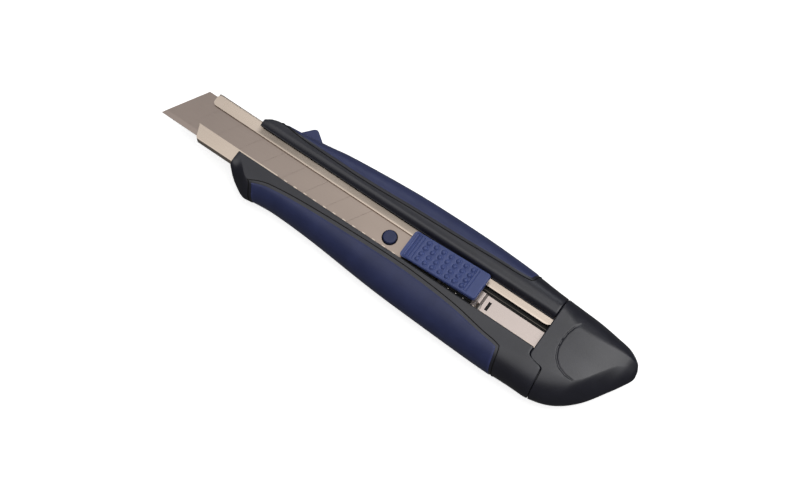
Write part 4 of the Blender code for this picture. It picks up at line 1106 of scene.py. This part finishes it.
CARRIER_SHEET = 0.5
CARRIER_BROAD_END = 7.0  # the broad part ends this far before the button's rear
PIN_ROUND = 0.55
SMALL_BEVEL = 0.1


def make_carrier(hole_x):
    """Thin carrier under the blade, its pin, and its narrow tail beside the strip, a near-black sheet that
    paints shade into the channel there.
    """
    low, high = CARRIER_LOW, CARRIER_HIGH
    rear = BUTTON_HIGH.x - CARRIER_BROAD_END
    tail_near = STRIP_HIGH.y + CLEAR
    # painted shade: the tail from rear to the carrier's end is a near-black sheet in the channel beside
    # the strip, where there is only shade
    outline = [(low.x + 1.5, low.y), (rear, low.y), (rear, tail_near), (high.x, tail_near),
               (high.x, high.y), (rear, high.y), (rear - 2, high.y - 2), (low.x + 3, high.y - 2),
               (low.x, high.y - 5), (low.x, low.y + 1.5)]
    plate = bevel(prism("carrier_plate_and_shade_tail", outline, low.z, low.z + CARRIER_SHEET), SMALL_BEVEL, 2)
    dress(plate, DEEP_BLACK, "slider", "hard_blue", "blade_carrier")
    rib = bevel(block("carrier_rib", (BUTTON_HIGH.x - 3.0, tail_near + 0.55, low.z + 0.3),
                      (high.x - 0.5, tail_near + 1.0, low.z + 0.95)), SMALL_BEVEL, 2)
    dress(rib, DARK_STEEL, "slider", "hard_black")
    top = high.z
    profile = [(0.0, low.z + 0.2), (PIN_RADIUS, low.z + 0.2), (PIN_RADIUS, top - PIN_ROUND)]
    for k in range(1, 9):
        a = pi / 2 * k / 8
        profile.append((PIN_RADIUS - PIN_ROUND + PIN_ROUND * cos(a), top - PIN_ROUND + PIN_ROUND * sin(a)))
    profile += [(1.2, top - 0.02), (0.0, top - 0.04)]
    pin = turned("carrier_pin", hole_x, 0.0, profile)
    dress(pin, PIN_BLUE, "slider", "hard_blue")


STRIP_SHEET = 0.5
STRIP_STEP = 1.5  # the strip steps down this far behind the button
STRIP_STEP_RUN = 1.2
WINDOW_FROM_BUTTON = 4.2
WINDOW_LENGTH = 1.2
LEAF_FROM_BUTTON = 0.7
LEAF_REACH = 2.3
LEAF_DROP = 2.6
LEAF_TURN = 1.35  # radians
LEAF_TAB_X = (29.5, 33.0, 36.4)
LEAF_TAB_RADIUS = 0.42


def make_strip():
    """Bright strip behind the slider, stepped down from the blade's level, and its window, over a
    near-black sheet that is painted shade.
    """
    low, high = STRIP_LOW, STRIP_HIGH
    strip_top = CARRIER_LOW.z + STRIP_SHEET
    window_x = BUTTON_HIGH.x + WINDOW_FROM_BUTTON
    step = BUTTON_HIGH.x + STRIP_STEP
    blade_z, carrier_z = BLADE_LOW.z, CARRIER_LOW.z
    profile = [(low.x, blade_z), (step, blade_z), (step + STRIP_STEP_RUN, carrier_z),
               (high.x, carrier_z), (high.x, strip_top), (step + STRIP_STEP_RUN, strip_top),
               (step, blade_z + STRIP_SHEET), (low.x, blade_z + STRIP_SHEET)]
    rings = [[(x, y, z) for x, z in profile] for y in (low.y, high.y)]
    strip = rings_to_mesh("carrier_strip", rings)
    strip = boolean(strip, block("c", (window_x, low.y + 1.4, 0),
                                 (window_x + WINDOW_LENGTH, high.y - 1.9, CUT_HIGH)))
    strip = bevel(strip, 0.07, 2)
    dress(strip, STRIP_STEEL, "slider", "rail_steel", "tail_strip")
    # painted shade: a near-black sheet under the window stands for the shade seen through it
    dark_shade_sheet = bevel(block("window_dark_shade_sheet", (window_x - 0.6, low.y + 0.8, carrier_z - 0.22),
                        (window_x + 1.8, high.y - 1.3, carrier_z - 0.06)), 0.03, 2)
    dress(dark_shade_sheet, DEEP_BLACK, "slider", "hard_black")


def make_leaf():
    """Curled leaf behind the button, the runner's near flank and the bright tabs on it."""
    leaf = BUTTON_HIGH.x + LEAF_FROM_BUTTON
    rings = []
    for y in (STRIP_LOW.y - 0.6, STRIP_LOW.y + 1.9):
        upper = []
        for k in range(9):
            a = LEAF_TURN * k / 8
            upper.append((leaf + LEAF_REACH * (1 - cos(a)), y,
                          STRIP_HIGH.z + LEAF_DROP * (1 - sin(a)) + 0.1))
        under = [(x + 0.3, y, z + 0.1) for x, y, z in upper]
        rings.append(upper + under[::-1])
    tongue = bevel(rings_to_mesh("spring_tongue", rings), 0.06, 2)
    dress(tongue, SPRING_STEEL, "slider", "rail_steel")
    flank = bevel(block("base_flank", (BUTTON_LOW.x + 1.4, SLOT_NEAR + 0.12, RAIL_TOP + 0.12),
                        (BUTTON_HIGH.x - 1.2, BUTTON_LOW.y - 0.04, RAIL_TOP + 1.15)), 0.12, 2)
    dress(flank, DEEP_BLACK, "slider", "hard_black", "lock_spring")
    centre = RAIL_TOP + 1.17
    ball = [(0.0, centre - LEAF_TAB_RADIUS)]
    ball += [(LEAF_TAB_RADIUS * sin(pi * k / 8), centre - LEAF_TAB_RADIUS * cos(pi * k / 8))
             for k in range(1, 8)]
    ball.append((0.0, centre + LEAF_TAB_RADIUS))
    for number, x in enumerate(LEAF_TAB_X, 1):
        tab = turned("leaf_tab_%d" % number, x, BUTTON_LOW.y - 0.1, ball, sides=20)
        dress(tab, SPRING_STEEL, "slider", "rail_steel")


make_shell()
make_grips()
make_cap()
make_rail()
pin_x = make_blade()
make_button()
make_carrier(pin_x)
make_strip()
make_leaf()
refinish(DEEP_BLACK, "slider_base")
refinish(SPRING_STEEL, "button_spring", "strip_rivet", "rail_rivet_front", "rail_rivet_rear",
         "cover_screw_1", "cover_screw_2", "cover_screw_3", "cover_screw_4")
refinish(DARK_STEEL, "lock_pawl")
refinish(BLACK, "underside_cover")


# ---- floor, lights and camera ----
SKY_AXIS = (0.2, 0.0, 0.98)  # middle of the bright overhead softbox
SKY_LOW = 0.10
SKY_HIGH = 1.35
SKY_EDGE = (0.70, 0.93)  # where the surround ends and the softbox begins
FLOOR_SIZE = 8.0  # metres, as all lengths from here on
FLOOR_SINK = 0.0002
STAGE_GLOW = 0.72
BACKDROP_RADIUS = 3.9


def make_stage():
    """Pale glowing floor and backdrop, which light nothing themselves."""
    bpy.ops.mesh.primitive_plane_add(size=FLOOR_SIZE, location=(0, 0, -FLOOR_SINK))
    floor = bpy.context.object
    floor.name = "floor"
    made, _, _, shader = shader_tree("floor_white")
    shader.inputs["Base Color"].default_value = (0.90, 0.90, 0.90, 1.0)
    shader.inputs["Roughness"].default_value = 0.9
    shader.inputs["Specular IOR Level"].default_value = 0.1
    shader.inputs["Emission Color"].default_value = (1.0, 1.0, 1.0, 1.0)
    shader.inputs["Emission Strength"].default_value = STAGE_GLOW
    floor.data.materials.append(made)
    bpy.ops.mesh.primitive_uv_sphere_add(segments=64, ring_count=32, radius=BACKDROP_RADIUS)
    backdrop = bpy.context.object
    backdrop.name = "backdrop"
    backdrop.data.materials.append(made)
    for item in (floor, backdrop):
        item.visible_glossy = False
        item.visible_diffuse = False
    backdrop.visible_shadow = False
    backdrop.visible_transmission = False


def make_sky():
    """One broad overhead softbox, fading to a dark surround."""
    world = bpy.data.worlds.new("studio")
    world.use_nodes = True
    nodes, links = world.node_tree.nodes, world.node_tree.links
    place = nodes.new("ShaderNodeTexCoord")
    dot = nodes.new("ShaderNodeVectorMath")
    dot.operation = "DOT_PRODUCT"
    dot.inputs[1].default_value = SKY_AXIS
    links.new(place.outputs["Generated"], dot.inputs[0])
    fade = nodes.new("ShaderNodeMapRange")
    fade.interpolation_type = "SMOOTHSTEP"
    fade.inputs["From Min"].default_value = SKY_EDGE[0]
    fade.inputs["From Max"].default_value = SKY_EDGE[1]
    fade.inputs["To Min"].default_value = SKY_LOW
    fade.inputs["To Max"].default_value = SKY_HIGH
    links.new(dot.outputs["Value"], fade.inputs["Value"])
    links.new(fade.outputs["Result"], nodes["Background"].inputs["Strength"])
    nodes["Background"].inputs["Color"].default_value = (1.0, 0.995, 0.99, 1.0)
    bpy.context.scene.world = world


def area_light(name, place, size, energy, colour=(1, 1, 1)):
    """Rectangular light that points at the knife."""
    data = bpy.data.lights.new(name, "AREA")
    data.shape = "RECTANGLE"
    data.size, data.size_y = size
    data.energy = energy
    data.color = colour
    obj = bpy.data.objects.new(name, data)
    obj.location = place
    aim = Vector((0.0, 0.0, 0.01)) - Vector(place)
    obj.rotation_euler = aim.to_track_quat("-Z", "Y").to_euler()
    bpy.context.scene.collection.objects.link(obj)


def make_lights():
    area_light("softbox", (0.45, 0.45, 0.95), (0.5, 0.5), 1.6)
    area_light("back_edge", (-0.3, 0.9, 0.5), (0.6, 0.3), 1.2, (0.92, 0.96, 1.0))


CAMERA_AZIMUTH = 35.2
CAMERA_ELEVATION = 71.0
CAMERA_DISTANCE = 0.6923
CAMERA_AIM = (0.00589, -0.00244, 0.0129)
CAMERA_LENS = 80.9  # millimetres


def make_camera():
    data = bpy.data.cameras.new("camera")
    data.sensor_width = 36.0
    data.lens = CAMERA_LENS
    data.clip_start = 0.01
    data.clip_end = 20.0
    camera = bpy.data.objects.new("camera", data)
    a, e = radians(CAMERA_AZIMUTH), radians(CAMERA_ELEVATION)
    back = Vector((sin(a) * cos(e), -cos(a) * cos(e), sin(e)))
    right = Vector((cos(a), sin(a), 0.0))
    up = back.cross(right)
    turn = Matrix((right, up, back)).transposed().to_4x4()
    camera.matrix_world = Matrix.Translation(Vector(CAMERA_AIM) + back * CAMERA_DISTANCE) @ turn
    bpy.context.scene.collection.objects.link(camera)
    bpy.context.scene.camera = camera
    bpy.context.scene.view_settings.view_transform = "Standard"


make_stage()
make_sky()
make_lights()
make_camera()
